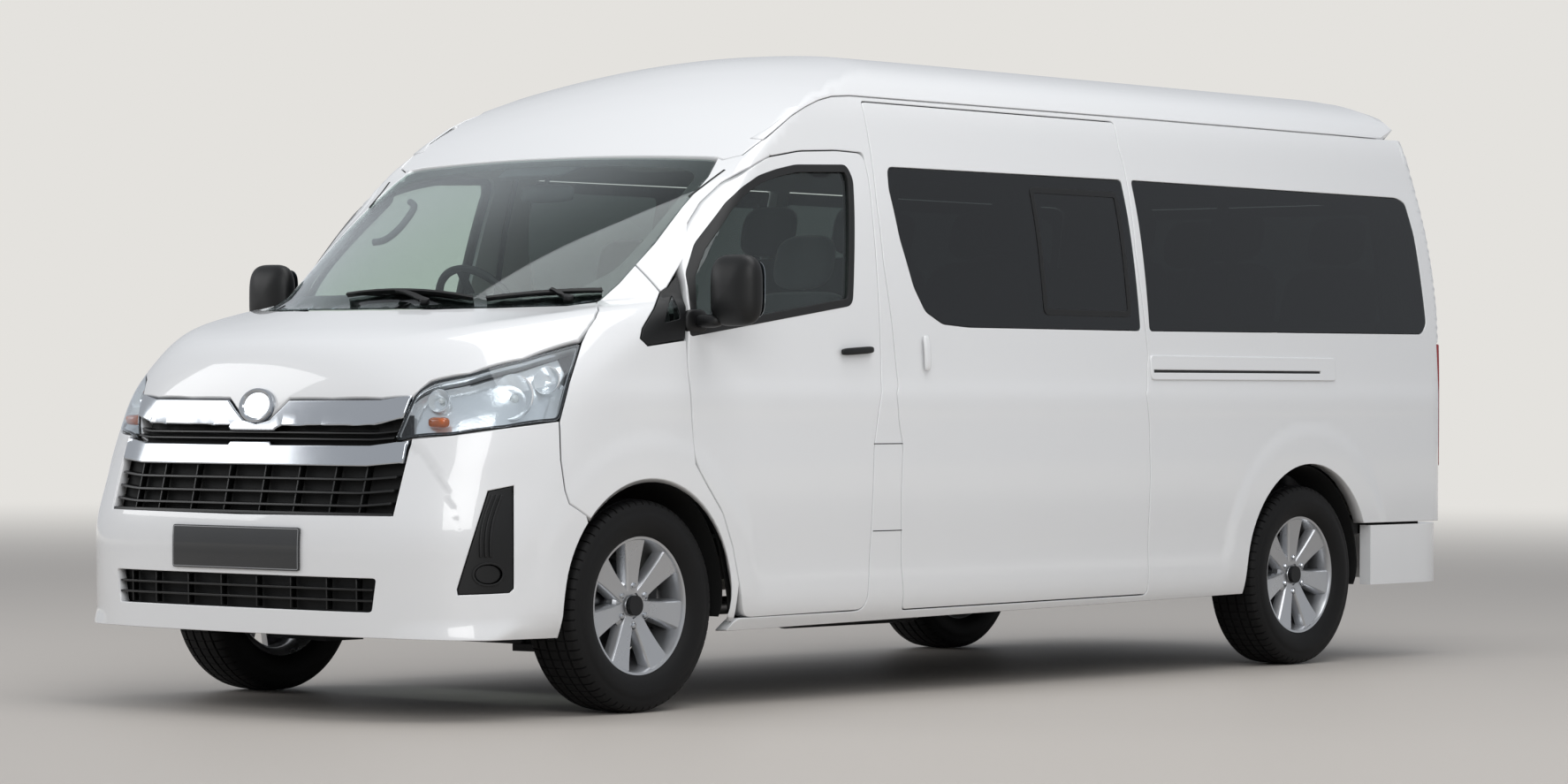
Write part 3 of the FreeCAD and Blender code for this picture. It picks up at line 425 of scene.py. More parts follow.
def drawn_in(loop, distance):
    """A closed outline moved inwards by more than its corners' radius: points that come too near it are dropped."""
    moved = inset(loop, distance)
    start, span = loop, np.roll(loop, -1, axis=0) - loop
    share = np.sum((moved[:, None] - start) * span, axis=2) / np.maximum(np.sum(span * span, axis=1), 1e-12)
    nearest = start + np.clip(share, 0, 1)[..., None] * span
    gap = np.linalg.norm(moved[:, None] - nearest, axis=2).min(axis=1)
    moved = moved[gap > 0.985 * abs(distance)]
    kept = [0]
    for i in range(1, len(moved)):
        if min(np.linalg.norm(moved[i] - moved[kept[-1]]), np.linalg.norm(moved[i] - moved[0])) > LEAST_STEP:
            kept.append(i)
    return moved[kept]


def inside(points, loop):
    """Whether points lie within a closed outline: an odd number of its edges is crossed on the way to the right."""
    a, b = loop, np.roll(loop, -1, axis=0)
    result = np.zeros(len(points), bool)
    for (ax, ay), (bx, by) in zip(a, b):
        if ay == by:
            continue
        spans = (points[:, 1] >= min(ay, by)) & (points[:, 1] < max(ay, by))
        cross = ax + (points[:, 1] - ay) / (by - ay) * (bx - ax)
        result ^= spans & (points[:, 0] < cross)
    return result


def within(points, loops):
    """Whether points lie inside the first outline and outside the others."""
    result = inside(points, loops[0])
    for hole in loops[1:]:
        result &= ~inside(points, hole)
    return result


def fill_flat(loops, step):
    """Triangles inside the first outline and outside the others, over a grid of interior points."""
    low = loops[0].min(axis=0)
    high = loops[0].max(axis=0)
    columns = np.arange(low[0], high[0], step)
    rows = np.arange(low[1], high[1], step * 0.866)
    grid_u, grid_v = np.meshgrid(columns, rows)
    grid_u = grid_u + (np.arange(rows.size) % 2)[:, None] * step / 2
    grid = np.stack([grid_u.ravel(), grid_v.ravel()], -1)
    grid = grid[within(grid, loops)]
    border = np.concatenate(loops)
    clear = np.ones(len(grid), bool)
    for start in range(0, len(grid), GRID_PART):
        part = grid[start:start + GRID_PART]
        gap = np.min(np.sum((part[:, None, :] - border[None, :, :]) ** 2, axis=2), axis=1)
        clear[start:start + GRID_PART] = gap > (0.45 * step) ** 2
    points = np.concatenate([border, grid[clear]])
    edges = []
    first = 0
    for loop in loops:
        index = np.arange(len(loop)) + first
        edges += np.stack([index, np.where(index + 1 < first + len(loop), index + 1, first)], -1).tolist()
        first += len(loop)
    made = delaunay_2d_cdt([Vector(p) for p in points.tolist()], edges, [], 0, 1e-7)
    if len(made[0]) != len(points):
        raise ValueError("an outline crosses itself or its hole")
    triangles = np.array(made[2])
    triangles = triangles[within(points[triangles].mean(axis=1), loops)]
    corner = points[triangles]
    edge_a, edge_b = corner[:, 1] - corner[:, 0], corner[:, 2] - corner[:, 0]
    clockwise = edge_a[:, 0] * edge_b[:, 1] - edge_a[:, 1] * edge_b[:, 0] < 0
    triangles[clockwise] = triangles[clockwise][:, ::-1]
    return points, triangles


def panel_mesh(view, outline, holes=(), thick=0.03, step=0.03, edge=0.003, sink=0.0, form=None, open_at=None):
    """Points, faces, slots and outer normals of a panel: the body's surface within an outline, a rounded edge, a
    wall inwards and an inner skin. The outer side and the wall have slot 0 and the inner skin slot 1. Where the
    open_at function of points holds, the edge stays square, so that the next panel goes on without a seam."""
    loops = [outline if signed_area(outline) > 0 else outline[::-1]]
    loops += [hole if signed_area(hole) < 0 else hole[::-1] for hole in holes]
    rings = [[inset(loop, edge * share) for loop in loops] for share in (0.0, 0.3, 1.0)]
    flat, triangles = fill_flat(rings[2], step)
    border = sum(len(loop) for loop in loops)
    stacked = np.concatenate(rings[0] + rings[1] + [flat])
    points, normals, ways = on_body(view, stacked, form)
    depth = np.concatenate([np.full(border, edge), np.full(border, edge * 0.3), np.zeros(len(flat))]) + sink
    if open_at:
        depth[:2 * border][open_at(points[:2 * border])] = sink
    outer = points - normals * depth[:, None]
    inner_edge = points[:border] - ways[:border] * (thick + sink)
    inner = points[2 * border:] - ways[2 * border:] * (thick + sink)
    everything = np.concatenate([outer, inner_edge, inner])
    first_inner_edge = len(outer)
    first_inner = first_inner_edge + border
    index = np.concatenate([np.stack([np.arange(len(loop)), np.roll(np.arange(len(loop)), -1)], -1) + start
                            for loop, start in zip(loops, np.cumsum([0] + [len(loop) for loop in loops[:-1]]))])
    here, there = index.T

    def band(a, b):
        return np.stack([a + here, a + there, b + there, b + here], -1).tolist()
    faces = (triangles + 2 * border).tolist() + band(border, 2 * border) + band(0, border)
    faces += band(first_inner_edge, 0)
    outer_count = len(faces)
    faces += band(first_inner, first_inner_edge) + (triangles[:, ::-1] + first_inner).tolist()
    slots = np.concatenate([np.zeros(outer_count), np.ones(len(faces) - outer_count)])
    lit = np.zeros_like(everything)
    lit[2 * border:2 * border + len(flat)] = normals[2 * border:]
    return everything, faces, slots, lit


FLIP = np.array([-1, 1, 1])


def mirrored(part):
    """The same part on the vehicle's right side, with its faces still pointing outwards."""
    points, faces, *rest = part
    return (points * FLIP, [face[::-1] for face in faces], *rest[:1], *[lit * FLIP for lit in rest[1:]])


def seen_in(view, places):
    """Flat coordinates in a view of places on the body, each (x, y, z) or, seen from the side, (y, z)."""
    points = [on_body(from_side, np.array([place]))[0][0] if len(place) == 2 else place for place in places]
    return [tuple(view.flatten(np.array([point], float))[0]) for point in points]


# Body paint: solid white enamel under a clear coat, sprayed and baked on pressed steel. It gives sharp reflections
# over a milky white, with the faint ripple of sprayed lacquer.
PAINT_WHITE = "E6E7E8"
PEEL_SIZE = 0.004


def noise_bump(tree, size, strength, height):
    """The normal of a fine noise on the piece's own coordinates, with grains of a real size in metres."""
    at = node(tree, "ShaderNodeTexCoord")
    grain = node(tree, "ShaderNodeTexNoise", {"Vector": at.outputs["Object"]}, in_Scale=1 / size, in_Detail=2.0)
    return node(tree, "ShaderNodeBump", {"Height": grain.outputs[0]}, in_Strength=strength, in_Distance=height)


def surface(name, colour, rough, bump=None, **sockets):
    """A surface of one colour whose roughness varies a little from place to place."""
    material = new_material(name)
    tree = material.node_tree
    at = node(tree, "ShaderNodeTexCoord")
    cloud = node(tree, "ShaderNodeTexNoise", {"Vector": at.outputs["Object"]}, in_Scale=9.0, in_Detail=4.0)
    vary = node(tree, "ShaderNodeMapRange", {"Value": cloud.outputs[0]}, in_To_Min=max(rough - 0.04, 0.02),
                in_To_Max=rough + 0.05)
    shader = node(tree, "ShaderNodeBsdfPrincipled", {"Roughness": vary.outputs[0]}, in_Base_Color=linear(colour),
                  **sockets)
    if bump:
        tree.links.new(noise_bump(tree, *bump).outputs[0], shader.inputs["Normal"])
    node(tree, "ShaderNodeOutputMaterial", {"Surface": shader.outputs[0]})
    return material


# The enamel's peel and the grain of the moulded plastics are of real size, under 5 mm, and rubber is matt.
paint = surface("white_enamel", PAINT_WHITE, 0.32, (PEEL_SIZE, 0.03, 0.0004), in_Coat_Weight=1.0,
                in_Coat_Roughness=0.03)
trim_grey = surface("moulded_cabin_trim", "B7B6B2", 0.6, (0.0012, 0.25, 0.0004))
black_plastic = surface("grained_black_plastic", "0C0D0E", 0.46, (0.0011, 0.3, 0.0004), in_Specular_IOR_Level=0.4)
rubber_seal = surface("black_rubber", "101112", 0.55, (0.0015, 0.2, 0.0004))
SEAM = 0.0045
PAINTED = [paint, trim_grey]
SHARP_ANGLE = math.radians(35)


def dress(name, body, part, look, stands_for=None):
    """A piece that rides on a body and may stand for a solid. A part is points and faces and, for a panel, also its
    slots and the normals of its skin. A panel's outer and inner side may have a look each."""
    points, faces, *rest = part
    mesh = bpy.data.meshes.new(name)
    mesh.from_pydata(np.asarray(points).tolist(), [], faces)
    for material in look if isinstance(look, list) else [look] * (2 if rest else 1):
        mesh.materials.append(material)
    if rest:
        mesh.polygons.foreach_set("material_index", rest[0].astype(np.int32))
    mesh.polygons.foreach_set("use_smooth", np.ones(len(faces), bool))
    mesh.set_sharp_from_angle(angle=SHARP_ANGLE)
    if rest:
        mesh.normals_split_custom_set_from_vertices(rest[1].tolist())
    mesh.update()
    made = bpy.data.objects.new(name, mesh)
    bpy.context.scene.collection.objects.link(made)
    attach(made, body)
    if stands_for:
        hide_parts(stands_for)
    return made


def dress_both(name, body, part, look, stands_for=""):
    """A piece on the left and its mirror image on the right. A star in a name is the side, and a solid named without
    one belongs to the left piece."""
    for side, form in (("left", part), ("right", mirrored(part))):
        stands = stands_for.replace("*", side) if side == "left" or "*" in stands_for else None
        dress(name + "_" + side, body.replace("*", side), form, look, stands)


def seam(corners, view=None, gap=SEAM, radius=0.02, step=0.03):
    """A closed outline drawn in by half a shut gap. Its corners are flat, or places on the body for a view."""
    loop = rounded_outline(seen_in(view, corners) if view else corners, radius, step)
    if signed_area(loop) < 0:
        loop = loop[::-1]
    return inset(loop, gap / 2)


def opening(corners, view=None, gap=SEAM, radius=0.02, step=0.03):
    """A closed outline drawn out by half a shut gap, for the panel round another one."""
    return seam(corners, view, -gap, radius, step)


def arc(centre, radius, start, end, count=24):
    """Points round a circle from a start to an end angle in degrees, with no further rounding."""
    turn = np.radians(np.linspace(start, end, count))
    return [(centre[0] + radius * math.cos(a), centre[1] + radius * math.sin(a), 0.0) for a in turn]


# The two front doors: steel shells whose seam runs from the sill up the front arch, along the front pillar and
# down the middle pillar. They hang on hinges at their front edge.
DOOR_FRONT = [(-1.826, 1.140), (-1.818, 0.960), (-1.803, 0.812, 0.05), (-1.749, 0.745), (-1.667, 0.650),
              (-1.610, 0.531), (-1.575, 0.412)]
DOOR_BOTTOM = [(-1.540, 0.293, 0.05), (-0.889, 0.300, 0.05)]
DOOR_REAR = [(-0.880, 0.440), (-0.872, 0.620), (-0.862, 0.860), (-0.840, 0.980), (-0.818, 1.060), (-0.808, 1.180),
             (-0.800, 1.420), (-0.790, 1.640), (-0.776, 1.800)]
DOOR_TOP = [(-0.780, 1.885, 0.04), (-0.930, 1.888), (-1.127, 1.877), (-1.298, 1.850), (-1.400, 1.810),
            (-1.500, 1.757), (-1.590, 1.688), (-1.668, 1.615), (-1.726, 1.551, 0.05), (-1.774, 1.462), (-1.805, 1.330)]
DOOR_LIGHT = [(-1.808, 1.234), (-0.950, 1.352, 0.03), (-0.868, 1.790), (-0.889, 1.837, 0.05),
              (-1.165, 1.826), (-1.273, 1.806), (-1.373, 1.780), (-1.466, 1.738), (-1.545, 1.684), (-1.623, 1.612),
              (-1.699, 1.540), (-1.770, 1.440)]
door_outline = seam(DOOR_FRONT + DOOR_BOTTOM + DOOR_REAR + DOOR_TOP)
door_light = opening(DOOR_LIGHT, gap=0.0)
door_skin = panel_mesh(from_side, door_outline, [door_light], thick=0.045)
dress_both("front_door_skin", "door_*", door_skin, PAINTED, "front_door_*")

# The body sides: each is one pressing from the front pillar to the tail with the sill, the rear arch and the window
# openings, and the tail corner goes on round to the tailgate. Only the left one has the sliding door's opening.
SLIDE_FRONT = [(-0.680, 0.294), (-0.702, 0.450), (-0.712, 0.695), (-0.703, 0.864), (-0.723, 0.941), (-0.737, 1.049),
               (-0.722, 1.075), (-0.735, 1.279), (-0.757, 1.494), (-0.755, 1.709), (-0.734, 1.896), (-0.726, 2.070)]
SLIDE_REAR = [(0.775, 2.070), (0.764, 1.979), (0.775, 1.896), (0.755, 1.564), (0.773, 1.294), (0.781, 1.202),
              (0.760, 1.070), (0.748, 1.054), (0.768, 0.939), (0.774, 0.741), (0.768, 0.544), (0.775, 0.304)]
SLIDE_SEAM = SLIDE_FRONT[::-1] + SLIDE_REAR[::-1]
SLIDE_LIGHT = [(-0.660, 1.842, 0.03), (-0.674, 1.760), (-0.652, 1.590), (-0.600, 1.420), (-0.545, 1.335),
               (-0.450, 1.292), (-0.300, 1.283), (0.745, 1.285), (0.738, 1.850)]
QUARTER_LIGHT = [(0.800, 1.851), (0.800, 1.285), (2.690, 1.298, 0.04), (2.728, 1.340), (2.712, 1.700),
                 (2.690, 1.830), (2.634, 1.850, 0.03)]
GUTTER_LINE = [(-1.298, 1.906), (-1.234, 1.943), (-1.130, 2.000), (-1.049, 2.034), (-0.965, 2.062), (-0.882, 2.080),
               (-0.780, 2.088), (0.0, 2.090), (0.9, 2.092), (1.8, 2.092)]
TAIL_JOIN_Y = 2.745
PILLAR_JOIN_Y = -1.298
BUMPER_TOP = 0.543
SILL_FRONT = (-1.592, 0.248)
GUTTER_REAR_Z = 2.092


def without_radius(corners):
    """Corners without the radius that some of them give."""
    return [(a, b) for a, b, *_ in corners]


def joined(*parts):
    """Several parts of one kind as one."""
    starts = np.cumsum([0] + [len(part[0]) for part in parts])
    faces = [[i + int(start) for i in face] for part, start in zip(parts, starts) for face in part[1]]
    rest = [np.concatenate(arrays) for arrays in zip(*[part[2:] for part in parts])]
    return (np.concatenate([part[0] for part in parts]), faces, *rest)


side_edge = [SILL_FRONT] + arc((REAR_AXLE_Y, ARCH_Z), REAR_ARCH, 189.5, 26.3, 34)
side_edge += [(TAIL_JOIN_Y, BUMPER_TOP, 0.0), (TAIL_JOIN_Y, GUTTER_REAR_Z, 0.0)]
side_edge += [(y, z, 0.0) for y, z in GUTTER_LINE[::-1]] + without_radius(DOOR_TOP[3::-1])
side_edge += DOOR_REAR[::-1] + [(-0.889, 0.300, 0.05), (-1.560, 0.296)]


def joins_on(points):
    """Where the side goes on into the tail corner and the front pillar."""
    return (points[:, 1] > TAIL_JOIN_Y - 0.01) | (points[:, 1] < PILLAR_JOIN_Y + 0.01) & (points[:, 2] > 1.6)


side_loop = seam(side_edge)
side_left = panel_mesh(from_side, side_loop, [opening(SLIDE_SEAM), opening(QUARTER_LIGHT, gap=0.0)], thick=0.05,
                       open_at=joins_on)
side_right = panel_mesh(from_side, side_loop, [opening(SLIDE_LIGHT, gap=0.0), opening(QUARTER_LIGHT, gap=0.0)],
                        thick=0.05, open_at=joins_on)
GATE_HALF, GATE_TOP_HALF = 0.797, 0.706
LAMP_LOW, LAMP_HIGH, LAMP_FRONT = 0.765, 1.262, 2.800


def tail_place(x, z):
    """A place on the rear face."""
    return tuple(on_body(from_rear, np.array([[-x, z]]))[0][0])


def upright(y, low, high):
    """Places up the side at one distance from the axle."""
    return [(y, z) for z in np.linspace(low, high, 14)]


lamp_front_edge = upright(LAMP_FRONT, LAMP_LOW, LAMP_HIGH)
lamp_rear_edge = [tail_place(GATE_HALF, z) for z in np.linspace(LAMP_LOW, LAMP_HIGH, 5)]
pillar_edge = [tail_place(*place) for place in np.linspace((GATE_HALF, LAMP_HIGH), (GATE_TOP_HALF, 2.090), 9)]
corner_places = [tail_place(GATE_HALF, BUMPER_TOP), lamp_rear_edge[0]] + lamp_front_edge
corner_places += pillar_edge + upright(TAIL_JOIN_Y - 0.006, BUMPER_TOP, GUTTER_REAR_Z)[::-1]
corner_loop = seam(corner_places, round_tail, radius=0.008, step=0.02)
tail_corner = panel_mesh(round_tail, corner_loop, thick=0.05, step=0.02,
                         open_at=lambda points: points[:, 1] < TAIL_JOIN_Y + 0.004)
dress("side_pressing_left", "root", joined(side_left, tail_corner), PAINTED, "side_left")
dress("side_pressing_right", "root", mirrored(joined(side_right, tail_corner)), PAINTED, "side_right")

# The sliding door on the left: one pressed and enamelled steel panel with a flush window. It hangs on rails at its
# top, middle and sill.
slide_skin = panel_mesh(from_side, seam(SLIDE_SEAM), [opening(SLIDE_LIGHT, gap=0.0)], thick=0.05)
dress("sliding_door_skin", "root", slide_skin, PAINTED, "sliding_door")

# The high roof: a smooth crown of pressed steel from the top of the windscreen to the tailgate, welded to the sides
# along two gutters.
def other_side(places):
    """The mirror image of places in reverse order, so that it goes on round an outline."""
    return [(-place[0], *place[1:]) for place in places[::-1]]


def across(half, count, middle, shift, full):
    """Places from side to side on a parabola that leaves its middle (y, z) by a shift at the x called full."""
    return [(x, *(np.array(middle) + np.array(shift) * (x / full) ** 2)) for x in np.linspace(-half, half, count)]


SCREEN_TOP = across(0.716, 13, (-1.441, 1.867), (0.034, -0.018), 0.716)
ROOF_FRONT = [(-1.415, 1.838), (-1.382, 1.854), (-1.333, 1.886)]
roof_rear = [tail_place(x, 2.094) for x in np.linspace(-GATE_TOP_HALF, GATE_TOP_HALF, 9)]
left_places = ROOF_FRONT + GUTTER_LINE + [(2.300, GUTTER_REAR_Z), (2.640, GUTTER_REAR_Z)]
left_flat, rear_flat, front_flat = [seen_in(over_roof, places) for places in (left_places, roof_rear, SCREEN_TOP)]
roof_loop = left_flat + rear_flat[::-1] + other_side(left_flat) + front_flat
roof_skin = panel_mesh(over_roof, seam(roof_loop, radius=0.0, step=0.04), thick=0.04, step=0.035)
dress("roof_skin", "root", roof_skin, PAINTED, "roof")

# The windscreen frame: the two front pillars beside the glass, pressed from steel and welded in between the wings
# and the gutters.
def paired(part):
    """A part and its mirror image as one."""
    return joined(part, mirrored(part))


PILLAR_EDGE = [(0.724, -1.408, 1.847), (0.756, -1.498, 1.776), (0.762, -1.640, 1.667), (0.772, -1.785, 1.544),
               (0.768, -1.875, 1.472)]
PILLAR_FOOT = [(0.871, -1.864, 1.380)]
QUARTER_BACK = [(0.878, -1.838, 1.395), (0.875, -1.776, 1.464), (0.873, -1.735, 1.510)]
pillar_places = PILLAR_EDGE[::-1] + ROOF_FRONT + [(-1.290, 1.910), (-1.290, 1.852)]
pillar_places += without_radius(DOOR_TOP[4:8]) + QUARTER_BACK[::-1] + PILLAR_FOOT
pillar = panel_mesh(from_corner, seam(pillar_places, from_corner, radius=0.004, step=0.02), thick=0.03, step=0.02,
                    open_at=lambda points: points[:, 1] > -1.305)
dress("front_pillars", "root", paired(pillar), PAINTED, "windscreen_frame")

# The front wings: pressed steel from the bumper's seam to the door, round the front arch, up to the bonnet and the
# foot of the pillar.
LAMP_TOP = [(0.667, -2.734, 1.078), (0.760, -2.650, 1.106), (0.843, -2.492, 1.153), (0.893, -2.275, 1.203)]
LAMP_BACK = [(0.941, -2.380, 1.079), (0.955, -2.440, 0.955)]
LAMP_FOOT = [(0.888, -2.621, 0.933), (0.779, -2.749, 0.910)]
LAMP_OUTLINE = [(0.607, -2.837, 0.893), (0.634, -2.773, 1.043)] + LAMP_TOP + LAMP_BACK + LAMP_FOOT
SHUT_LINE = [(0.905, -2.297, 1.191), (0.884, -2.232, 1.252), (0.868, -2.181, 1.287), (0.839, -2.132, 1.317),
             (0.765, -2.060, 1.350)]
BUMPER_SEAM = [(-2.445, 0.831), (-2.430, 0.732), (-2.413, 0.690), (-2.344, 0.655)]
QUARTER_FRONT = [(-1.825, 1.222), (-2.019, 1.200), (-2.048, 1.223), (-2.029, 1.255), (-1.949, 1.320)]
wing_places = LAMP_TOP[-1:] + LAMP_BACK + BUMPER_SEAM
wing_places += without_radius(arc((FRONT_AXLE_Y, ARCH_Z), FRONT_ARCH, 136, -8, 30))
wing_places += [(-1.592, 0.290), (-1.572, 0.290)] + without_radius(DOOR_FRONT[::-1]) + QUARTER_FRONT
wing_places += PILLAR_FOOT + [PILLAR_EDGE[-1], (0.763, -1.949, 1.409)] + SHUT_LINE[:0:-1]
wing = panel_mesh(from_corner, seam(wing_places, from_corner, radius=0.004, step=0.02), thick=0.02, step=0.022)
dress("wing_skins", "root", paired(wing), PAINTED, "front_wings")

# The bonnet: a short lid of pressed and enamelled steel from the bright bars up to the windscreen, hinged at its
# rear corners.
bonnet_side = [(0.633, -2.790, 1.041)] + LAMP_TOP + SHUT_LINE[1:]
bonnet_rear = across(-0.72, 9, (-2.495, 1.326), (0.398, 0.028), 0.802)
NOSE_EDGE = [(0.0, 0.946), (0.060, 0.958), (0.104, 0.992), (0.140, 1.022), (0.330, 1.022), (0.525, 1.024)]
bonnet_front = [tuple(on_body(from_front, np.array([edge]))[0][0]) for edge in other_side(NOSE_EDGE[1:]) + NOSE_EDGE]
bonnet_places = bonnet_side + bonnet_rear + other_side(bonnet_side) + bonnet_front
bonnet_skin = panel_mesh(over_bonnet, seam(bonnet_places, over_bonnet, radius=0.006, step=0.025), thick=0.014,
                         step=0.025)
dress("bonnet_skin", "bonnet", bonnet_skin, [paint, black_plastic], "bonnet")

# The front bumper: one large injection moulding, painted like the body, with openings for the two grilles and the
# two corner bezels. It is clipped and screwed to the wings and the front frame.
FOG_OUTLINE = [(0.893, -2.705, 0.733), (0.926, -2.623, 0.749), (0.938, -2.633, 0.424), (0.933, -2.648, 0.411),
               (0.850, -2.796, 0.406), (0.849, -2.799, 0.423)]


def symmetric(half):
    """A closed outline: its half on the vehicle's left, which runs upwards, and then the mirror image of that."""
    return half + other_side(half)


LOW_GRILLE = symmetric([(0.588, -2.92, 0.347), (0.606, -2.92, 0.453)])
CREASE_MIDDLE, CREASE_FOOT, CREASE_BACK = (0.763, -2.800, 0.799), (0.655, -2.894, 0.278), (0.955, -2.446, 0.882)
crease_flat = round_nose.flatten(np.array([CREASE_MIDDLE, CREASE_FOOT, CREASE_BACK]))
FACET_DEPTH, FACET_REACH, FACET_EASE = 0.014, 0.08, 0.032


def beyond(u, v, start, end):
    """How far a flat place lies to the right of a line from its start to its end."""
    way = (end - start) / np.linalg.norm(end - start)
    return (u - start[0]) * way[1] - (v - start[1]) * way[0]


def facetted_nose(x, y, z):
    """The body's form with the bumper's flat corner pressed in beyond its two creases."""
    u = np.arctan2(np.abs(x), NOSE_AXIS_Y - y)
    outward = beyond(u, z, crease_flat[1], crease_flat[0])
    below = beyond(u, z, crease_flat[0], crease_flat[2])
    nearer = (outward + below - np.hypot(outward - below, FACET_EASE)) / 2
    inner = (nearer + np.hypot(nearer, FACET_EASE)) / 2
    fade = (1 - step_up(y, -2.60, -2.45)) * step_up(z, 0.25, 0.33)
    return body_distance(x, y, z) + FACET_DEPTH * (1 - np.exp(-inner / FACET_REACH)) * fade


bumper_half = [(0.619, -2.903, 0.263), (0.926, -2.411, 0.256), (-2.425, 0.330)]
bumper_half += without_radius(arc((FRONT_AXLE_Y, ARCH_Z), FRONT_ARCH, 178, 138, 10))
bumper_half += [(-2.335, 0.652)] + BUMPER_SEAM[:3][::-1] + LAMP_BACK[-1:] + LAMP_FOOT
bumper_half += [(0.664, -2.822, 0.898), (0.657, -2.898, 0.655)]
half_flat = seen_in(round_nose, bumper_half)
bumper_flat = [(0.0, 0.262)] + half_flat + [(0.0, 0.650)] + other_side(half_flat)
fog_flat = seen_in(round_nose, FOG_OUTLINE)
bumper_holes = [opening(LOW_GRILLE, round_nose, 0.002, 0.01)]
bumper_holes += [opening(places, gap=0.002, radius=0.008) for places in (fog_flat, other_side(fog_flat))]
bumper_skin = panel_mesh(round_nose, seam(bumper_flat, radius=0.006, step=0.02), bumper_holes, step=0.014,
                         form=facetted_nose)
dress("front_bumper_skin", "root", bumper_skin, [paint, black_plastic], "front_bumper")

# The tailgate: a pressed and enamelled steel lid as wide as the tail, with a flush rear window, hinged under the
# roof's edge.
GATE_LOW, GATE_HIGH = 0.547, 2.086
GATE_LIGHT = symmetric([(0.690, 1.310), (0.640, 1.840)])
gate_outline = symmetric([(GATE_HALF, GATE_LOW), (GATE_HALF, LAMP_HIGH), (GATE_TOP_HALF, GATE_HIGH)])
gate_skin = panel_mesh(from_rear, seam(gate_outline, radius=0.015), [opening(GATE_LIGHT, gap=0.0, radius=0.05)],
                       thick=0.05, step=0.035)
dress("tailgate_skin", "tailgate", gate_skin, PAINTED, "tailgate")

# Glass: a tinted sheet that mirrors the studio at a glancing angle, with a black enamel band baked on its inner side.
# The windscreen and front doors are lightly tinted, and the glass behind them is dark privacy glass.
def glazing(name, tint, mirror=0.04):
    """Tinted clear glass: a transparent colour under a sharp reflection that grows towards the edge of view, by the
    fifth power of how far it turns away."""
    material = new_material(name)
    tree = material.node_tree
    clear = node(tree, "ShaderNodeBsdfTransparent", in_Color=linear(tint))
    gloss = node(tree, "ShaderNodeBsdfGlossy", in_Roughness=0.02, in_Color=(0.95, 0.97, 1.0, 1.0))
    facing = node(tree, "ShaderNodeLayerWeight", in_Blend=0.5)
    fifth = node(tree, "ShaderNodeMath", {0: facing.outputs["Facing"]}, operation="POWER")
    fifth.inputs[1].default_value = 5.0
    share = node(tree, "ShaderNodeMapRange", {"Value": fifth.outputs[0]}, in_To_Min=mirror)
    both = node(tree, "ShaderNodeMixShader", {0: share.outputs[0], 1: clear.outputs[0], 2: gloss.outputs[0]})
    node(tree, "ShaderNodeOutputMaterial", {"Surface": both.outputs[0]})
    return material


front_glass = glazing("clear_green_glass", "E9F0ED")
privacy_glass = glazing("dark_privacy_glass", "7F8686", 0.05)
lens_glass = glazing("clear_lamp_lens", "F4F7F9", 0.03)
frit_black = surface("black_enamel_band", "0C0D0E", 0.25)
GLASS_THICK, GLASS_SINK, BAND_SINK = 0.0045, 0.0015, 0.0072
PANE_GAP, BAND_GAP = 0.003, 0.0035
SEAL_WIDTH = 0.024


def pane_and_band(view, outline, clear_areas, step=0.05):
    """A pane within an outline, and the black band behind all of it but its clear areas."""
    pane = panel_mesh(view, inset(outline, PANE_GAP), thick=GLASS_THICK, step=step, edge=0.001, sink=GLASS_SINK)
    return pane, panel_mesh(view, inset(outline, BAND_GAP), clear_areas, 0.001, step, 0.0003, BAND_SINK)


# Door windows: sheets of clear green toughened glass in a broad frame of black rubber, which is pressed on the edge
# of the door's opening.
door_frame = panel_mesh(from_side, inset(door_light, -0.003), [drawn_in(door_light, SEAL_WIDTH)], edge=0.002,
                        sink=-0.0015)
door_pane = panel_mesh(from_side, drawn_in(door_light, SEAL_WIDTH - 0.002), thick=GLASS_THICK, step=0.06, edge=0.001,
                       sink=0.008)
dress_both("door_window_frame", "door_*", door_frame, rubber_seal)
dress_both("door_pane", "door_*", door_pane, front_glass, "door_glass_*")

# Side windows behind the front doors: flush panes of dark toughened glass, bonded to the body. The sliding pane
# stands in its own frame of black moulded plastic.
slide_light = seam(SLIDE_LIGHT, gap=0.0)
quarter_light = seam(QUARTER_LIGHT, gap=0.0)
SLIDE_CLEAR = [(-0.615, 1.800), (-0.625, 1.700), (-0.600, 1.560), (-0.560, 1.430), (-0.500, 1.365), (-0.420, 1.335),
               (-0.300, 1.330), (0.075, 1.330), (0.075, 1.802)]
SLIDER = [(0.150, 1.335), (0.690, 1.335), (0.690, 1.802), (0.150, 1.802)]
QUARTER_CLEAR = [[(0.850, 1.335), (1.345, 1.335), (1.345, 1.802), (0.850, 1.802)],
                 [(1.425, 1.335), (2.640, 1.345, 0.04), (2.668, 1.400), (2.655, 1.690), (2.630, 1.780, 0.04),
                  (2.560, 1.802), (1.425, 1.802)]]
slide_clear = [seam(places, gap=0.0, radius=0.03) for places in (SLIDE_CLEAR, SLIDER)]
quarter_clear = [seam(places, gap=0.0, radius=0.03) for places in QUARTER_CLEAR]
slider_frame = panel_mesh(from_side, slide_clear[1], [drawn_in(slide_clear[1], 0.022)], 0.004, edge=0.0012,
                          sink=-0.001)
panes, bands = zip(pane_and_band(from_side, slide_light, slide_clear, 0.06),
                   pane_and_band(from_side, quarter_light, quarter_clear, 0.06))
dress_both("side_panes", "root", joined(*panes), privacy_glass, "side_glass")
dress_both("side_pane_bands", "root", joined(*bands), frit_black)
dress_both("slider_frame", "root", slider_frame, black_plastic)

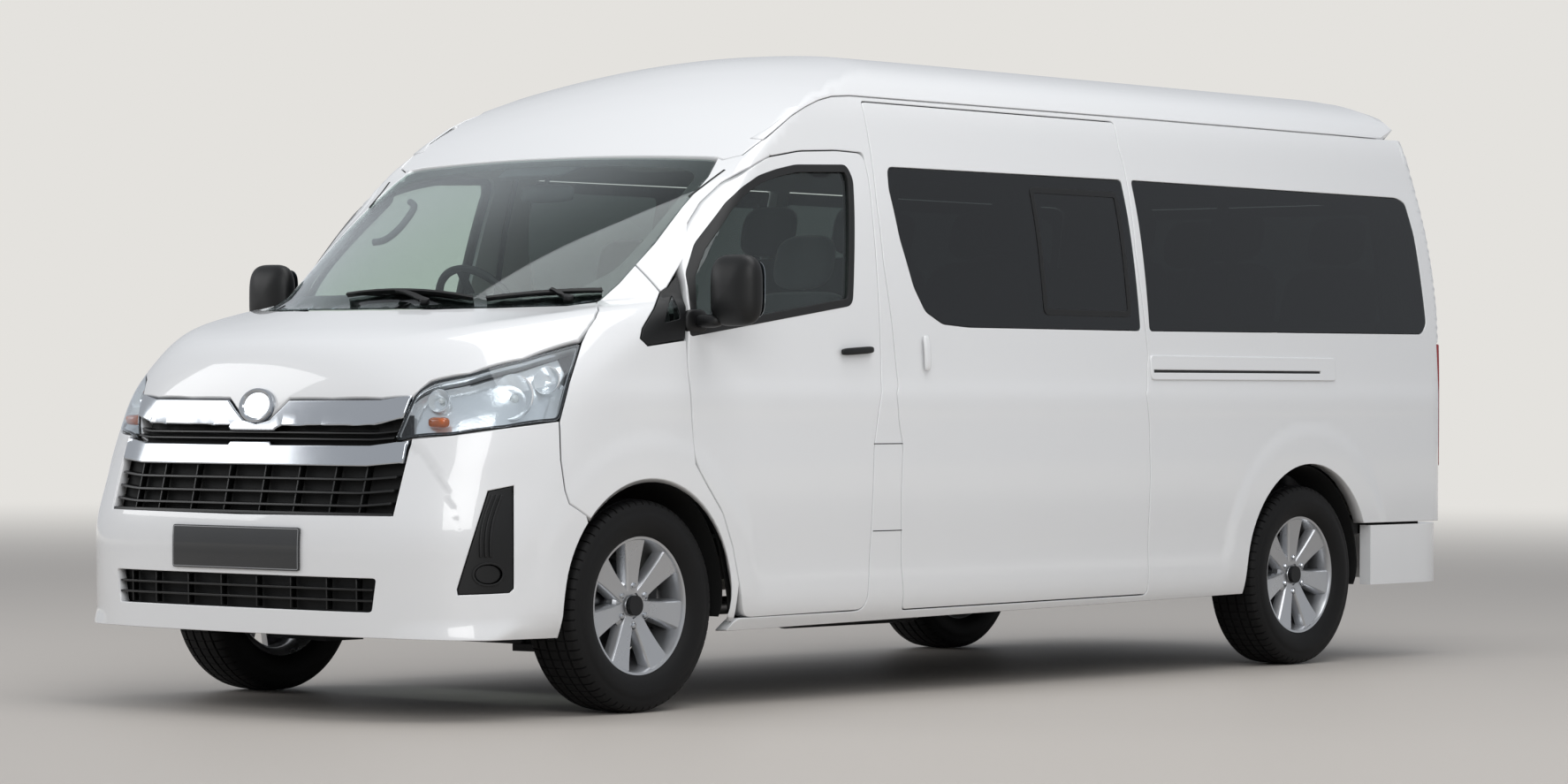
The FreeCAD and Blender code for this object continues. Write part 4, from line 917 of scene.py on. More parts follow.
gate_light = seam(GATE_LIGHT, gap=0.0, radius=0.05)
gate_pane, gate_band = pane_and_band(from_rear, gate_light, [drawn_in(gate_light, 0.045)])
dress("tailgate_pane", "tailgate", gate_pane, privacy_glass, "tailgate_glass")
dress("tailgate_pane_band", "tailgate", gate_band, frit_black)

# The windscreen: one sheet of laminated glass between the pillars, bonded to them and to the roof, down to the cowl
# behind the bonnet.
screen_bottom = across(0.72, 11, (-2.465, 1.333), (0.398, 0.028), 0.802)
SCREEN_SIDE = [(0.756, -2.016, 1.372), (0.766, -1.949, 1.417), (0.772, -1.875, 1.475), (0.772, -1.785, 1.548),
               (0.765, -1.640, 1.671), (0.757, -1.498, 1.779), (0.732, -1.425, 1.836)]
screen_top = across(-0.700, 11, (-1.450, 1.860), (0.030, -0.016), 0.700)
screen_places = screen_bottom + SCREEN_SIDE + screen_top + other_side(SCREEN_SIDE)
clear_bottom = across(0.66, 9, (-2.372, 1.372), (0.330, 0.020), 0.72)
CLEAR_SIDE = [(0.728, -1.925, 1.455), (0.735, -1.790, 1.560), (0.728, -1.640, 1.682), (0.706, -1.500, 1.790)]
clear_top = across(-0.64, 7, (-1.500, 1.826), (0.020, -0.012), 0.64)
clear_places = clear_bottom + CLEAR_SIDE + clear_top + other_side(CLEAR_SIDE)
screen_pane, screen_band = pane_and_band(over_screen, seam(screen_places, over_screen, gap=0.0, radius=0.02),
                                         [seam(clear_places, over_screen, gap=0.0, radius=0.05)])
dress("windscreen_pane", "root", screen_pane, front_glass, "windscreen")
dress("windscreen_pane_band", "root", screen_band, frit_black)

# The finishes of the running gear, the cabin and the lamps. Chrome, cast alloy and turned steel shine, painted steel
# and moulded plastic are dull, and rubber and the undertray's bitumen are matt with a coarse grain. They also go on
# the solids whose form already is the real one.
chrome = surface("bright_chrome", "C0C4C9", 0.13, in_Metallic=1.0)
alloy = surface("silver_alloy", "B9BBBE", 0.28, (0.0006, 0.1, 0.0002), in_Metallic=0.85, in_Coat_Weight=0.6)
tyre_rubber = surface("tyre_rubber", "0A0A0B", 0.66, (0.002, 0.25, 0.0005), in_Specular_IOR_Level=0.3)
black_steel = surface("black_painted_steel", "17181A", 0.5, (0.004, 0.2, 0.0006), in_Metallic=0.3)
bare_steel = surface("bare_steel", "77787A", 0.35, (0.003, 0.2, 0.0004), in_Metallic=1.0)
dash_plastic = surface("dark_dash_plastic", "26272A", 0.55, (0.0014, 0.3, 0.0005))
seat_cloth = surface("grey_seat_cloth", "3A3B3E", 0.85, (0.0018, 0.6, 0.001), in_Sheen_Weight=0.3)
red_lens = surface("red_lamp_lens", "8E0F14", 0.12, in_Coat_Weight=1.0)
undertray = surface("black_undertray", "0B0C0C", 0.75, (0.006, 0.3, 0.001))
LOOKS = {black_plastic: ["rear_plate"],
         undertray: ["wheel_liners", "fuel_tank", "floor"],
         black_steel: ["rear_axle", "front_suspension", "knuckle_left", "knuckle_right", "engine"],
         bare_steel: ["exhaust"], dash_plastic: ["dash", "steering_wheel"],
         paint: ["rear_bumper"], tyre_rubber: ["spare_wheel"]}
for look, names in LOOKS.items():
    for name in names:
        for node_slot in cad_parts[name].material_slots:
            node_slot.material = look

# Tyres: moulded radial rubber with four grooves round the tread, slits across its shoulders and a smooth, unmarked
# sidewall.
TYRE_SIDE = [(0.086, 0.2265), (0.093, 0.232), (0.103, 0.245), (0.1095, 0.262), (0.1122, 0.284), (0.1112, 0.300),
             (0.1092, 0.303), (0.1085, 0.314), (0.1062, 0.322), (0.1030, 0.330), (0.0985, 0.3370), (0.0925, 0.3420),
             (0.0850, 0.3452)]
GROOVES = (-0.060, -0.021, 0.021, 0.060)
GROOVE_HALF, GROOVE_DEPTH = 0.0045, 0.0075
TREAD_BLOCKS = 64
SLIT_DEPTH, SIPE_DEPTH = 0.0055, 0.0025
WHEEL_X = 0.8375


def turned(profile, centre, axis, turns, closed=False):
    """A profile of (radius, distance along the axis) turned about an axis through a centre, in even turns or at
    given angles."""
    profile = np.asarray(profile, float)
    way = np.array(axis, float) / np.linalg.norm(axis)
    first = np.cross(way, (0, 0, 1) if abs(way[2]) < 0.9 else (1, 0, 0))
    first /= np.linalg.norm(first)
    second = np.cross(way, first)
    angle = np.linspace(0, 2 * math.pi, turns, endpoint=False) if np.isscalar(turns) else np.asarray(turns)
    round_way = np.outer(np.cos(angle), first) + np.outer(np.sin(angle), second)
    points = centre + profile[None, :, :1] * round_way[:, None, :] + profile[None, :, 1:] * way
    count, rows = len(angle), len(profile)
    i, j = np.meshgrid(np.arange(count), np.arange(rows if closed else rows - 1), indexing="ij")
    after, above = (i + 1) % count, (j + 1) % rows
    faces = np.stack([i * rows + j, i * rows + above, after * rows + above, after * rows + j], -1)
    return points.reshape(-1, 3), faces.reshape(-1, 4).tolist()


def tyre_mesh():
    """A tyre about its own axis: the profile runs from the inner bead over the tread to the outer bead."""
    tread = np.add.outer(GROOVES, np.array([-1.0, -0.7, 0.7, 1.0]) * GROOVE_HALF).ravel()
    crown = 0.350 - 0.0035 * (tread / 0.085) ** 2 - np.tile([0, 1, 1, 0], len(GROOVES)) * GROOVE_DEPTH
    inner = [(r, -t) for t, r in TYRE_SIDE]
    outer = [(r, t) for t, r in TYRE_SIDE[::-1]]
    profile = np.array(inner + list(zip(crown, tread)) + outer)
    block = 2 * math.pi / TREAD_BLOCKS
    angles = (np.arange(TREAD_BLOCKS)[:, None] * block + np.array([0.0, 0.02, 0.14, 0.16, 0.6]) * block).ravel()
    points, faces = turned(profile, np.zeros(3), (1, 0, 0), angles)
    points = points.reshape(len(angles), len(profile), 3)
    slit = np.tile([0, 1, 1, 0, 0], TREAD_BLOCKS)[:, None]
    radius, along = profile.T
    shoulder = (np.abs(along) > GROOVES[-1] + GROOVE_HALF * 0.9) & (radius > 0.3365)
    middle = (np.abs(along) < GROOVES[-1] - GROOVE_HALF * 0.9) & (radius > 0.348)
    cut = slit * (shoulder * SLIT_DEPTH + middle * SIPE_DEPTH)[None, :]
    points[..., 1:] *= (1 - cut / radius)[..., None]
    return points.reshape(-1, 3), faces


def at_wheels(part):
    """The place of each wheel, the body behind it and a wheel part's form there."""
    for end, y in (("front", FRONT_AXLE_Y), ("rear", REAR_AXLE_Y)):
        left = part[0] + (WHEEL_X, y, AXLE_Z), part[1]
        for side, form in (("left", left), ("right", mirrored(left))):
            yield end + "_" + side, "knuckle_" + side if end == "front" else "root", form


def dress_wheels(name, part, look, stands_for=""):
    """A piece on each wheel. A star in a solid's name is the wheel's place."""
    for place, _, form in at_wheels(part):
        dress(name + "_" + place, "wheel_" + place, form, look, stands_for.replace("*", place))


dress_wheels("treaded_tyre", tyre_mesh(), tyre_rubber, "tyre_*")
# Headlamps: a clear swept lens of hard-coated polycarbonate, glued to a black moulded rim. Behind it lie a bright
# bowl, three metallised round reflectors, two bulbs and an amber indicator. The lamp is screwed to the wing.
reflector = surface("mirror_reflector", "F8F8F8", 0.16, (0.012, 0.25, 0.002), in_Metallic=0.55)
amber = surface("amber_lens", "E2701C", 0.15, in_Coat_Weight=1.0, in_Transmission_Weight=0.3)
bulb_glass = surface("bulb_glass", "FAFAF6", 0.1, in_Coat_Weight=1.0)
NOSE_WAY = np.array([0.30, -0.93, 0.20])


def bowl(centre, radius, depth):
    """A round reflector that opens ahead: a parabola turned about its axis, with a rim at its mouth."""
    profile = [(radius * math.sqrt(t) + 1e-4, depth * (t - 1)) for t in np.linspace(0, 1, 9)]
    profile += [(radius * 1.05, 0.0), (radius * 1.05, -0.006)]
    return turned(profile, np.array(centre), NOSE_WAY, 40)


def dome(centre, radius, height):
    """A shallow cap that bulges ahead: a quarter of an ellipse turned about its axis."""
    profile = [(radius * math.cos(a) + 1e-5, height * math.sin(a)) for a in np.linspace(0, math.pi / 2, 7)]
    return turned(profile, np.array(centre), NOSE_WAY, 24)


def quads(rows, around):
    """The faces between rows of points round a form: two neighbours in a row with the same two in the next one."""
    i, j = np.meshgrid(np.arange(rows - 1), np.arange(around), indexing="ij")
    k = (j + 1) % around
    faces = np.stack([i * around + j, (i + 1) * around + j, (i + 1) * around + k, i * around + k], -1)
    return faces.reshape(-1, 4).tolist()


def rounded_form(centre, half, square, flat_square, turns=56, rows=28):
    """A closed form like a rounded block. The first power squares its outline seen from the front and the second
    its depth along y."""
    around = np.linspace(0, 2 * math.pi, turns, endpoint=False)
    rise = np.linspace(-math.pi / 2, math.pi / 2, rows)

    def power(value, exponent):
        return np.sign(value) * np.abs(value) ** (2 / exponent)
    size = power(np.cos(rise), flat_square)[:, None]
    x = half[0] * size * power(np.cos(around), square)[None, :]
    z = half[2] * size * power(np.sin(around), square)[None, :]
    y = half[1] * power(np.sin(rise), flat_square)[:, None] + 0 * x
    points = np.stack([x, y, z], -1).reshape(-1, 3) + centre
    return points, quads(rows, turns)


lamp_outline = seam(LAMP_OUTLINE, from_corner, gap=0.004, radius=0.024, step=0.018)
lamp_lens = panel_mesh(from_corner, lamp_outline, thick=0.003, step=0.02, edge=0.002, sink=0.0005)
lamp_rim = panel_mesh(from_corner, lamp_outline, [drawn_in(lamp_outline, 0.006)], 0.008, 0.015, 0.001, 0.004)
lamp_wall = panel_mesh(from_corner, lamp_outline, [drawn_in(lamp_outline, 0.005)], 0.048, 0.015, 0.001, 0.014)
lamp_back = panel_mesh(from_corner, drawn_in(lamp_outline, 0.006), (), 0.003, 0.02, 0.001, 0.062)
MAIN_MOUTH, INNER_MOUTH, AMBER_AT = (0.845, -2.548, 1.030), (0.690, -2.722, 1.018), (0.712, -2.742, 0.948)
lamp_bowls = joined(bowl(MAIN_MOUTH, 0.072, 0.060), bowl(INNER_MOUTH, 0.036, 0.040),
                    bowl((0.893, -2.438, 1.085), 0.044, 0.040))
lamp_bulbs = joined(dome(np.add(MAIN_MOUTH, (-0.008, 0.025, -0.005)), 0.014, 0.022),
                    dome(np.add(INNER_MOUTH, (-0.005, 0.020, 0.0)), 0.010, 0.014))
indicator = rounded_form(np.array(AMBER_AT), (0.040, 0.022, 0.018), 3.5, 2.5, 32, 14)
dress_both("headlamp_lens", "root", lamp_lens, lens_glass, "headlamps")
dress_both("headlamp_rim", "root", lamp_rim, black_plastic)
dress_both("headlamp_back", "root", joined(lamp_back, lamp_wall), reflector)
dress_both("headlamp_reflectors", "root", lamp_bowls, reflector)
dress_both("headlamp_bulbs", "root", lamp_bulbs, bulb_glass)
dress_both("headlamp_indicator", "root", indicator, amber)

# Fixed pieces between the front doors and the windscreen: a corner of grained black plastic, clipped in, with a
# small pane of its own.
CORNER_PIECE = QUARTER_FRONT[1:] + PILLAR_FOOT + QUARTER_BACK[:1]
CORNER_PIECE += [(-1.796, 1.436), (-1.813, 1.330), (-1.831, 1.224)]
CORNER_PANE = [(-1.930, 1.275), (-1.850, 1.290), (-1.838, 1.370), (-1.870, 1.345)]
corner_outline = seam(CORNER_PIECE, from_corner, gap=0.003, radius=0.006, step=0.02)
corner_hole = seam(CORNER_PANE, from_corner, gap=0.0, radius=0.01, step=0.02)
corner_piece = panel_mesh(from_corner, corner_outline, [corner_hole], 0.015, 0.02, 0.002, 0.0)
corner_pane = panel_mesh(from_corner, inset(corner_hole, 0.0005), (), 0.004, 0.03, 0.0005, 0.003)
dress("corner_pieces", "root", paired(corner_piece), black_plastic)
dress("corner_panes", "root", paired(corner_pane), front_glass)

# Door mirrors: housings of grained black ABS on short arms, screwed to the door through a foot, with a silvered
# glass facing back.
MIRROR_AT, MIRROR_HALF = np.array([1.098, -1.745, 1.384]), np.array([0.099, 0.054, 0.118])
mirror_glass = surface("mirror_glass", "AEB6BC", 0.03, in_Metallic=1.0)
housing = rounded_form(MIRROR_AT, MIRROR_HALF, 3.6, 2.5)
gathered = np.clip((MIRROR_AT[1] - housing[0][:, 1]) / MIRROR_HALF[1], 0, 1)[:, None] ** 2
housing = (housing[0] + (MIRROR_AT - housing[0]) * gathered * (0.14, 0, 0.12), housing[1])
mirror_arm = rounded_form(np.array([0.985, -1.760, 1.283]), (0.062, 0.030, 0.022), 3.0, 2.6, 32, 16)
mirror_foot = rounded_form(np.array([0.944, -1.772, 1.283]), (0.016, 0.055, 0.040), 3.5, 3.0, 32, 16)
mirror_face = rounded_form(MIRROR_AT + (0, 0.0525, 0.004), (0.082, 0.0035, 0.098), 4.5, 2.6, 48, 8)
dress_both("mirror_housing", "door_*", joined(housing, mirror_arm, mirror_foot), black_plastic, "mirror_*")
dress_both("mirror_glass", "door_*", mirror_face, mirror_glass)

# Door furniture: black pulls on the front doors, a painted upright pull on the sliding door, its rail cover on the
# side behind it, and the fuel flap's joints in the middle pillar.
def side_place(y, z, out):
    """A place on the side of the body, moved along the outward normal."""
    point, normal, _ = on_body(from_side, np.array([[y, z]]))
    return point[0] + normal[0] * out


def circle(centre, radius, count):
    """A closed round outline from the cosine and sine of even turns."""
    turn = np.linspace(0, 2 * math.pi, count, endpoint=False)
    return np.stack([centre[0] + radius * np.cos(turn), centre[1] + radius * np.sin(turn)], -1)


def pull_bar(start, end, half_width, out, thick):
    """A rounded bar that stands off the side between two places."""
    a, b = side_place(*start, out), side_place(*end, out)
    middle, span = (a + b) / 2, b - a
    length = np.linalg.norm(span)
    points, faces = rounded_form(np.zeros(3), (thick, length / 2, half_width), 3.0, 5.0, 28, 26)
    along = span / length
    level = np.cross(along, (1, 0, 0))
    level /= np.linalg.norm(level)
    outward = np.cross(level, along)
    bow = (1 - (2 * points[:, 1:2] / length) ** 2) * 0.004
    return middle + points[:, :1] * outward + points[:, 1:2] * along - points[:, 2:] * level + outward * bow, faces


dress_both("door_pull", "door_*", pull_bar((-1.034, 1.188), (-0.864, 1.198), 0.0125, 0.012, 0.0085), black_plastic)
dress("slide_pull", "root", pull_bar((-0.566, 1.128), (-0.566, 1.250), 0.015, 0.011, 0.0075), paint)
RAIL_EDGE = [(0.788, 1.103), (2.030, 1.106), (2.034, 1.196), (0.788, 1.196)]
RAIL_OPENING = [(0.805, 1.131), (1.925, 1.134), (1.925, 1.143), (0.805, 1.141)]
RAIL_DARK = [(0.800, 1.128), (1.930, 1.131), (1.930, 1.146), (0.800, 1.144)]
rail_cover = panel_mesh(from_side, seam(RAIL_EDGE, gap=0.0), [seam(RAIL_OPENING, gap=0.0, radius=0.0)], 0.008, 0.03,
                        0.004, -0.007)
rail_dark = panel_mesh(from_side, seam(RAIL_DARK, gap=0.0, radius=0.0), (), 0.002, 0.03, 0.0005, -0.0012)
dress("rail_cover", "root", rail_cover, paint)
dress("rail_slot", "root", rail_dark, rubber_seal)


def strip(view, line, width, low, high, edge=0.0015, step=0.03, form=None):
    """A strip along a line of flat places, half its width to each side at a right angle to the line. It reaches from
    a low to a high distance off the body."""
    line = np.array(line, float)
    way = np.gradient(line, axis=0)
    way /= np.linalg.norm(way, axis=1)[:, None]
    side = np.stack([-way[:, 1], way[:, 0]], -1) * np.reshape(width, (-1, 1)) / 2
    outline = np.concatenate([line - side, (line + side)[::-1]])
    return panel_mesh(view, outline, (), high - low, step, edge, -high, form)


flap_lines = [strip(from_side, [(y, z) for y in np.linspace(-0.866, -0.706, 6)], 0.0035, -0.0006, 0.0004, 0.0003)
              for z in (0.573, 0.874)]
dress("fuel_flap_joints", "root", joined(*flap_lines), rubber_seal)

# The blank oval disc on the bonnet's tongue: chromed plastic with a raised rim round a sunk middle, stuck to the
# enamel.
BADGE_HALF = (0.081, 0.057)
badge_place = on_body(from_front, np.array([[0.0, 0.999]]))
badge_way = badge_place[1][0]
BADGE_PROFILE = [(1.0, -0.004), (1.0, 0.004), (0.98, 0.010), (0.90, 0.0125), (0.78, 0.010), (0.74, 0.006),
                 (1e-4, 0.006)]
badge_points, badge_faces = turned([(r * BADGE_HALF[1], h) for r, h in BADGE_PROFILE], np.zeros(3), badge_way, 64)
badge_points[:, 0] *= BADGE_HALF[0] / BADGE_HALF[1]
dress("bonnet_disc", "bonnet", (badge_points + badge_place[0][0], badge_faces), chrome)

# The nose between bonnet and bumper: two bright bars whose ends fold back to the headlamps, a dark slot between them,
# and the black slatted grille below. The bumper has a second grille and a fluted bezel with a round blank each side.
NOSE_FOLD = 0.525
UPPER_BAR = [(0.100, 0.918), (0.120, 0.934), (0.525, 0.938), (0.622, 0.962), (0.630, 1.034), (0.525, 1.019),
             (0.143, 1.017), (0.107, 0.987), (0.062, 0.953)]
LOWER_BAR = [(0.525, 0.807), (0.655, 0.819), (0.652, 0.891), (0.525, 0.874), (0.100, 0.873), (0.092, 0.883)]
SLOT_AREA = [(0.640, 0.880), (0.625, 0.970)]
GRILLE_AREA = [(0.655, 0.652), (0.655, 0.818)]
SLAT_HEIGHTS, SLOT_SLATS, LOW_SLATS = (0.683, 0.724, 0.767), (0.895, 0.915), (0.382, 0.417)
RIBS = (0.083, 0.240, 0.400, 0.525)


def level_line(half, z, bend):
    """Flat places across the nose at one height, with ends that may rise past the fold."""
    return [(x, z + bend * max(abs(x) - NOSE_FOLD, 0)) for x in np.linspace(-half, half, 31)]


def nose_panel(places, thick, sink, edge):
    """A closed panel on the nose."""
    return panel_mesh(from_front, seam(places, gap=0.0, radius=0.006, step=0.02), (), thick, 0.03, edge, sink)


def nose_slats(heights, half, bend, width, low, high):
    """Level slats in a grille."""
    return [strip(from_front, level_line(half, z, bend), width, low, high) for z in heights]


def nose_ribs(bottom, top, count, width, low):
    """Upright ribs in a grille."""
    return [strip(from_front, [(x, z) for z in np.linspace(bottom, top, count)], width, low, -0.009)
            for rib in RIBS for x in (-rib, rib)]


bars = [nose_panel(outline, 0.020, -0.004, 0.005)
        for outline in (UPPER_BAR + [(0.0, 0.941)] + other_side(UPPER_BAR), symmetric(LOWER_BAR))]
dress("nose_bars", "root", joined(*bars), chrome, "bright_bars")
grille_black = surface("satin_grille_black", "070808", 0.36)
slats = nose_slats(SLAT_HEIGHTS, 0.640, 0.08, 0.0075, -0.034, -0.003)
slats += nose_slats(SLOT_SLATS, 0.600, 0.08, 0.0060, -0.030, -0.008)
slats += nose_ribs(0.656, 0.812, 7, 0.0055, -0.036)
slats += nose_slats([0.656], 0.650, 0.0, 0.010, -0.034, -0.001)
slats += nose_slats(LOW_SLATS, 0.590, 0.0, 0.0070, -0.034, -0.004)
slats += nose_ribs(0.351, 0.449, 5, 0.0050, -0.034)
grille_backs = [nose_panel(symmetric(half), 0.003, 0.040, 0.001) for half in (SLOT_AREA, GRILLE_AREA)]
low_back = seam([(x * 1.01, z) for x, _, z in LOW_GRILLE], gap=-0.02, radius=0.01)
grille_backs.append(panel_mesh(from_front, low_back, (), 0.003, 0.03, 0.001, 0.040))
dress("grille_slats", "root", joined(*slats), grille_black, "grilles")
dress("grille_backs", "root", joined(*grille_backs), undertray)

bezel_outline = seam(fog_flat, gap=0.003, radius=0.008, step=0.015)
bezel_place = round_nose.flatten(np.array([[0.903, -2.711, 0.470]]))[0]
BLANK = circle(bezel_place, 0.034, 32)
bezel = panel_mesh(round_nose, bezel_outline, [BLANK], 0.010, 0.015, 0.003, 0.003, facetted_nose)
blank_cap = panel_mesh(round_nose, inset(BLANK, 0.003), (), 0.006, 0.01, 0.004, 0.006, facetted_nose)
blank_ring = panel_mesh(round_nose, inset(BLANK, -0.004), [inset(BLANK, 0.002)], 0.004, 0.01, 0.0015, -0.0015,
                        facetted_nose)
top = round_nose.flatten(np.array([[0.905, -2.690, 0.720]]))[0]
flutes = []
for share in (0.0, 0.33, 0.66):
    low = bezel_place + (-0.018 + 0.034 * share, 0.055)
    high = top + (-0.004 + 0.034 * share, 0.0)
    line = [low + (high - low) * t + (-0.010 * math.sin(math.pi * t), 0) for t in np.linspace(0, 1, 9)]
    flutes.append(strip(round_nose, line, 0.006, -0.004, 0.004, 0.002, 0.02, facetted_nose))
bezels = joined(bezel, blank_cap, blank_ring, *flutes)
dress("bumper_bezels", "root", paired(bezels), black_plastic)

# The front number plate: a pressed plate with a thin pale border, left blank, screwed to the bumper between its two
# grilles.
plate_dark = surface("blank_plate", "1D1F21", 0.3, in_Coat_Weight=0.5)
plate_line = surface("plate_border", "9A9C9E", 0.35)
PLATE = symmetric([(0.296, 0.470), (0.296, 0.609)])
PLATE_LIFT = 0.0086
plate_outline = seam(PLATE, gap=0.0, radius=0.010)
plate_face = panel_mesh(from_front, plate_outline, (), 0.006, 0.04, 0.0015, -PLATE_LIFT)
plate_edge = panel_mesh(from_front, inset(plate_outline, 0.004), [inset(plate_outline, 0.0062)], 0.001, 0.03, 0.0002,
                        -PLATE_LIFT - 0.0006)
dress("front_blank_plate", "root", plate_face, plate_dark, "front_plate")
dress("front_plate_border", "root", plate_edge, plate_line)

# Wipers: two blades of rubber in black steel carriers, parked along the foot of the windscreen. Each hangs on a bent
# steel arm from a spindle in the cowl.
def screen_line(a, b, count=9, bow=0.0):
    """Flat places between two points on the windscreen."""
    (u0, v0), (u1, v1) = over_screen.flatten(np.array([a, b]))
    return [(u0 + (u1 - u0) * t, v0 + (v1 - v0) * t + bow * math.sin(math.pi * t)) for t in np.linspace(0, 1, count)]


wiper_parts = []
WIPERS = [[(-0.050, -2.395, 1.362), (0.430, -2.296, 1.352), (0.160, -2.372, 1.364), (0.300, -2.395, 1.345)],
          [(0.470, -2.275, 1.352), (0.742, -2.010, 1.380), (0.620, -2.130, 1.382), (0.700, -2.130, 1.352)]]
for tip, end, knuckle, foot in WIPERS:
    blade, arm = screen_line(tip, end), screen_line(foot, knuckle, bow=0.006)
    pivot = circle(over_screen.flatten(np.array([foot]))[0], 0.016, 24)
    wiper_parts += [strip(over_screen, blade, 0.007, 0.002, 0.012), strip(over_screen, blade, 0.012, 0.012, 0.018),
                    strip(over_screen, arm, np.linspace(0.022, 0.010, 9), 0.016, 0.027),
                    panel_mesh(over_screen, pivot, (), 0.020, 0.01, 0.004, -0.026)]
dress("wipers", "root", joined(*wiper_parts), black_plastic)

# Wheels: cast and silver-painted alloy rims with seven flared flat spokes, six chromed nuts in deep pockets whose dark
# floors are painted shade, and a plain cap, over turned steel brake discs with cast calipers.
RIM_PROFILE = [(0.2275, 0.079), (0.2290, 0.085), (0.2265, 0.0885), (0.2190, 0.0870), (0.2145, 0.078), (0.2090, 0.058),
               (0.2030, 0.030), (0.1980, 0.0), (0.1960, -0.040), (0.2000, -0.070), (0.2120, -0.084), (0.2260, -0.0885),
               (0.2280, -0.080), (0.2210, -0.070), (0.2110, -0.055), (0.2070, 0.0), (0.2120, 0.045), (0.2200, 0.070)]
SPOKES, SPOKE_TURN = 7, math.radians(93)
SPOKE_ROOT, SPOKE_END = 0.040, 0.217
NUTS, NUT_CIRCLE = 6, 0.066


def spoke(angle):
    """One spoke along its radius: narrow past the nuts, flared to the rim, flat-faced with sloping flanks."""
    reach = np.linspace(SPOKE_ROOT, SPOKE_END, 12)
    t = (reach - SPOKE_ROOT) / (SPOKE_END - SPOKE_ROOT)
    half = 0.0215 + 0.0225 * t ** 1.7
    face = 0.058 + 0.022 * t ** 1.3
    flank = np.array([(0.012, -0.040), (0.006, -0.008), (0.0015, -0.0012), (0.0, 0.0)])
    out = np.concatenate([-half[:, None] - flank[:, 0], half[:, None] + flank[::-1, 0]], axis=1)
    high = face[:, None] + np.concatenate([flank[:, 1], flank[::-1, 1]])
    rows, count = out.shape
    faces = quads(rows, count) + [list(range(count)), [(rows - 1) * count + j for j in range(count)][::-1]]
    r = np.repeat(reach, count)
    s, h = out.ravel(), high.ravel()
    cos, sin = math.cos(angle), math.sin(angle)
    return np.stack([h, r * cos - s * sin, r * sin + s * cos], -1), faces


AXIS = (1, 0, 0)
ZERO = np.zeros(3)


def at_nuts(profile, turns, closed=False):
    """A turned form at each wheel nut."""
    angles = [math.radians(30 + 60 * k) for k in range(NUTS)]
    places = [np.array([0.0, NUT_CIRCLE * math.cos(a), NUT_CIRCLE * math.sin(a)]) for a in angles]
    return joined(*[turned(profile, nut, AXIS, turns, closed) for nut in places])


barrel = turned(RIM_PROFILE, ZERO, AXIS, 96, closed=True)
hub = turned([(0.001, 0.020), (0.090, 0.020), (0.088, 0.044), (0.078, 0.053), (0.036, 0.053), (0.034, 0.0560),
              (0.001, 0.0560)], ZERO, AXIS, 60)
spokes = [spoke(SPOKE_TURN + k * 2 * math.pi / SPOKES) for k in range(SPOKES)]
nuts = at_nuts([(0.0095, 0.050), (0.0095, 0.063), (0.006, 0.067), (0.0005, 0.067)], 6)
pockets = at_nuts([(0.0135, 0.048), (0.0150, 0.048), (0.0150, 0.0605), (0.0135, 0.0605)], 24, closed=True)
# The floor of each nut pocket is dark steel: painted shade for the depth of the pocket round the nut.
pocket_floor_shade = at_nuts([(0.0137, 0.0537), (0.0005, 0.0537)], 24)
cap = turned([(0.0325, 0.0500), (0.0315, 0.0590), (0.027, 0.0640), (0.018, 0.0670), (0.0005, 0.0680)], ZERO, AXIS, 48)
brake_disc = turned([(0.060, -0.022), (0.080, -0.022), (0.148, -0.022), (0.150, -0.020), (0.150, 0.000), (0.148, 0.002),
                     (0.080, 0.002), (0.078, 0.030), (0.060, 0.030)], ZERO, AXIS, 72)
caliper = rounded_form(ZERO, (0.036, 0.028, 0.062), 5.0, 5.0, 28, 18)
caliper = (caliper[0] + (-0.006, 0.128, 0.036), caliper[1])
dress_wheels("alloy_rim", joined(barrel, hub, pockets, *spokes), alloy, "rim_*")
dress_wheels("wheel_nuts", nuts, chrome)
dress_wheels("nut_pocket_shade", pocket_floor_shade, black_steel)
dress_wheels("wheel_cap", cap, alloy)
dress_wheels("brake_disc", brake_disc, bare_steel)
for place, holder, form in at_wheels(caliper):
    dress("brake_caliper_" + place, holder, form, black_steel)

# Tail lamps: upright lenses of red moulded acrylic round the tail corners, with a clear reversing band in two parts,
# screwed to the corner of the side.
lamp_places = lamp_front_edge + lamp_rear_edge[::-1]
tail_outline = seam(lamp_places, round_tail, gap=0.003, radius=0.012, step=0.02)
tail_lens = panel_mesh(round_tail, tail_outline, (), 0.045, 0.02, 0.005, -0.003)
clear_band = surface("clear_tail_band", "D9D2CF", 0.12, in_Coat_Weight=1.0)
u_low, u_high = tail_outline[:, 0].min(), tail_outline[:, 0].max()
bands = []
for low, high in ((0.905, 1.000), (1.085, 1.100)):
    corners = [(u_low + 0.012, low), (u_high - 0.012, low), (u_high - 0.012, high), (u_low + 0.012, high)]
    band = seam(corners, gap=0.0, radius=0.006, step=0.02)
    bands.append(panel_mesh(round_tail, band, (), 0.003, 0.02, 0.001, -0.0045))
dress_both("tail_lamp", "root", tail_lens, red_lens, "tail_lamps")
dress_both("tail_lamp_bands", "root", joined(*bands), clear_band)

# Rubber seals behind the shut gaps of the doors: extruded rings, pressed on the flange of each opening, so that a
# gap shows dark and not the cabin.
SEAL_SINK = 0.052
door_seal, slide_seal = [panel_mesh(from_side, inset(outline, -0.014), [drawn_in(outline, 0.014)], 0.004, 0.03, 0.0005,
                                    SEAL_SINK) for outline in (door_outline, seam(SLIDE_SEAM))]
dress_both("door_seal", "root", door_seal, rubber_seal)
dress("slide_seal_left", "root", slide_seal, rubber_seal)

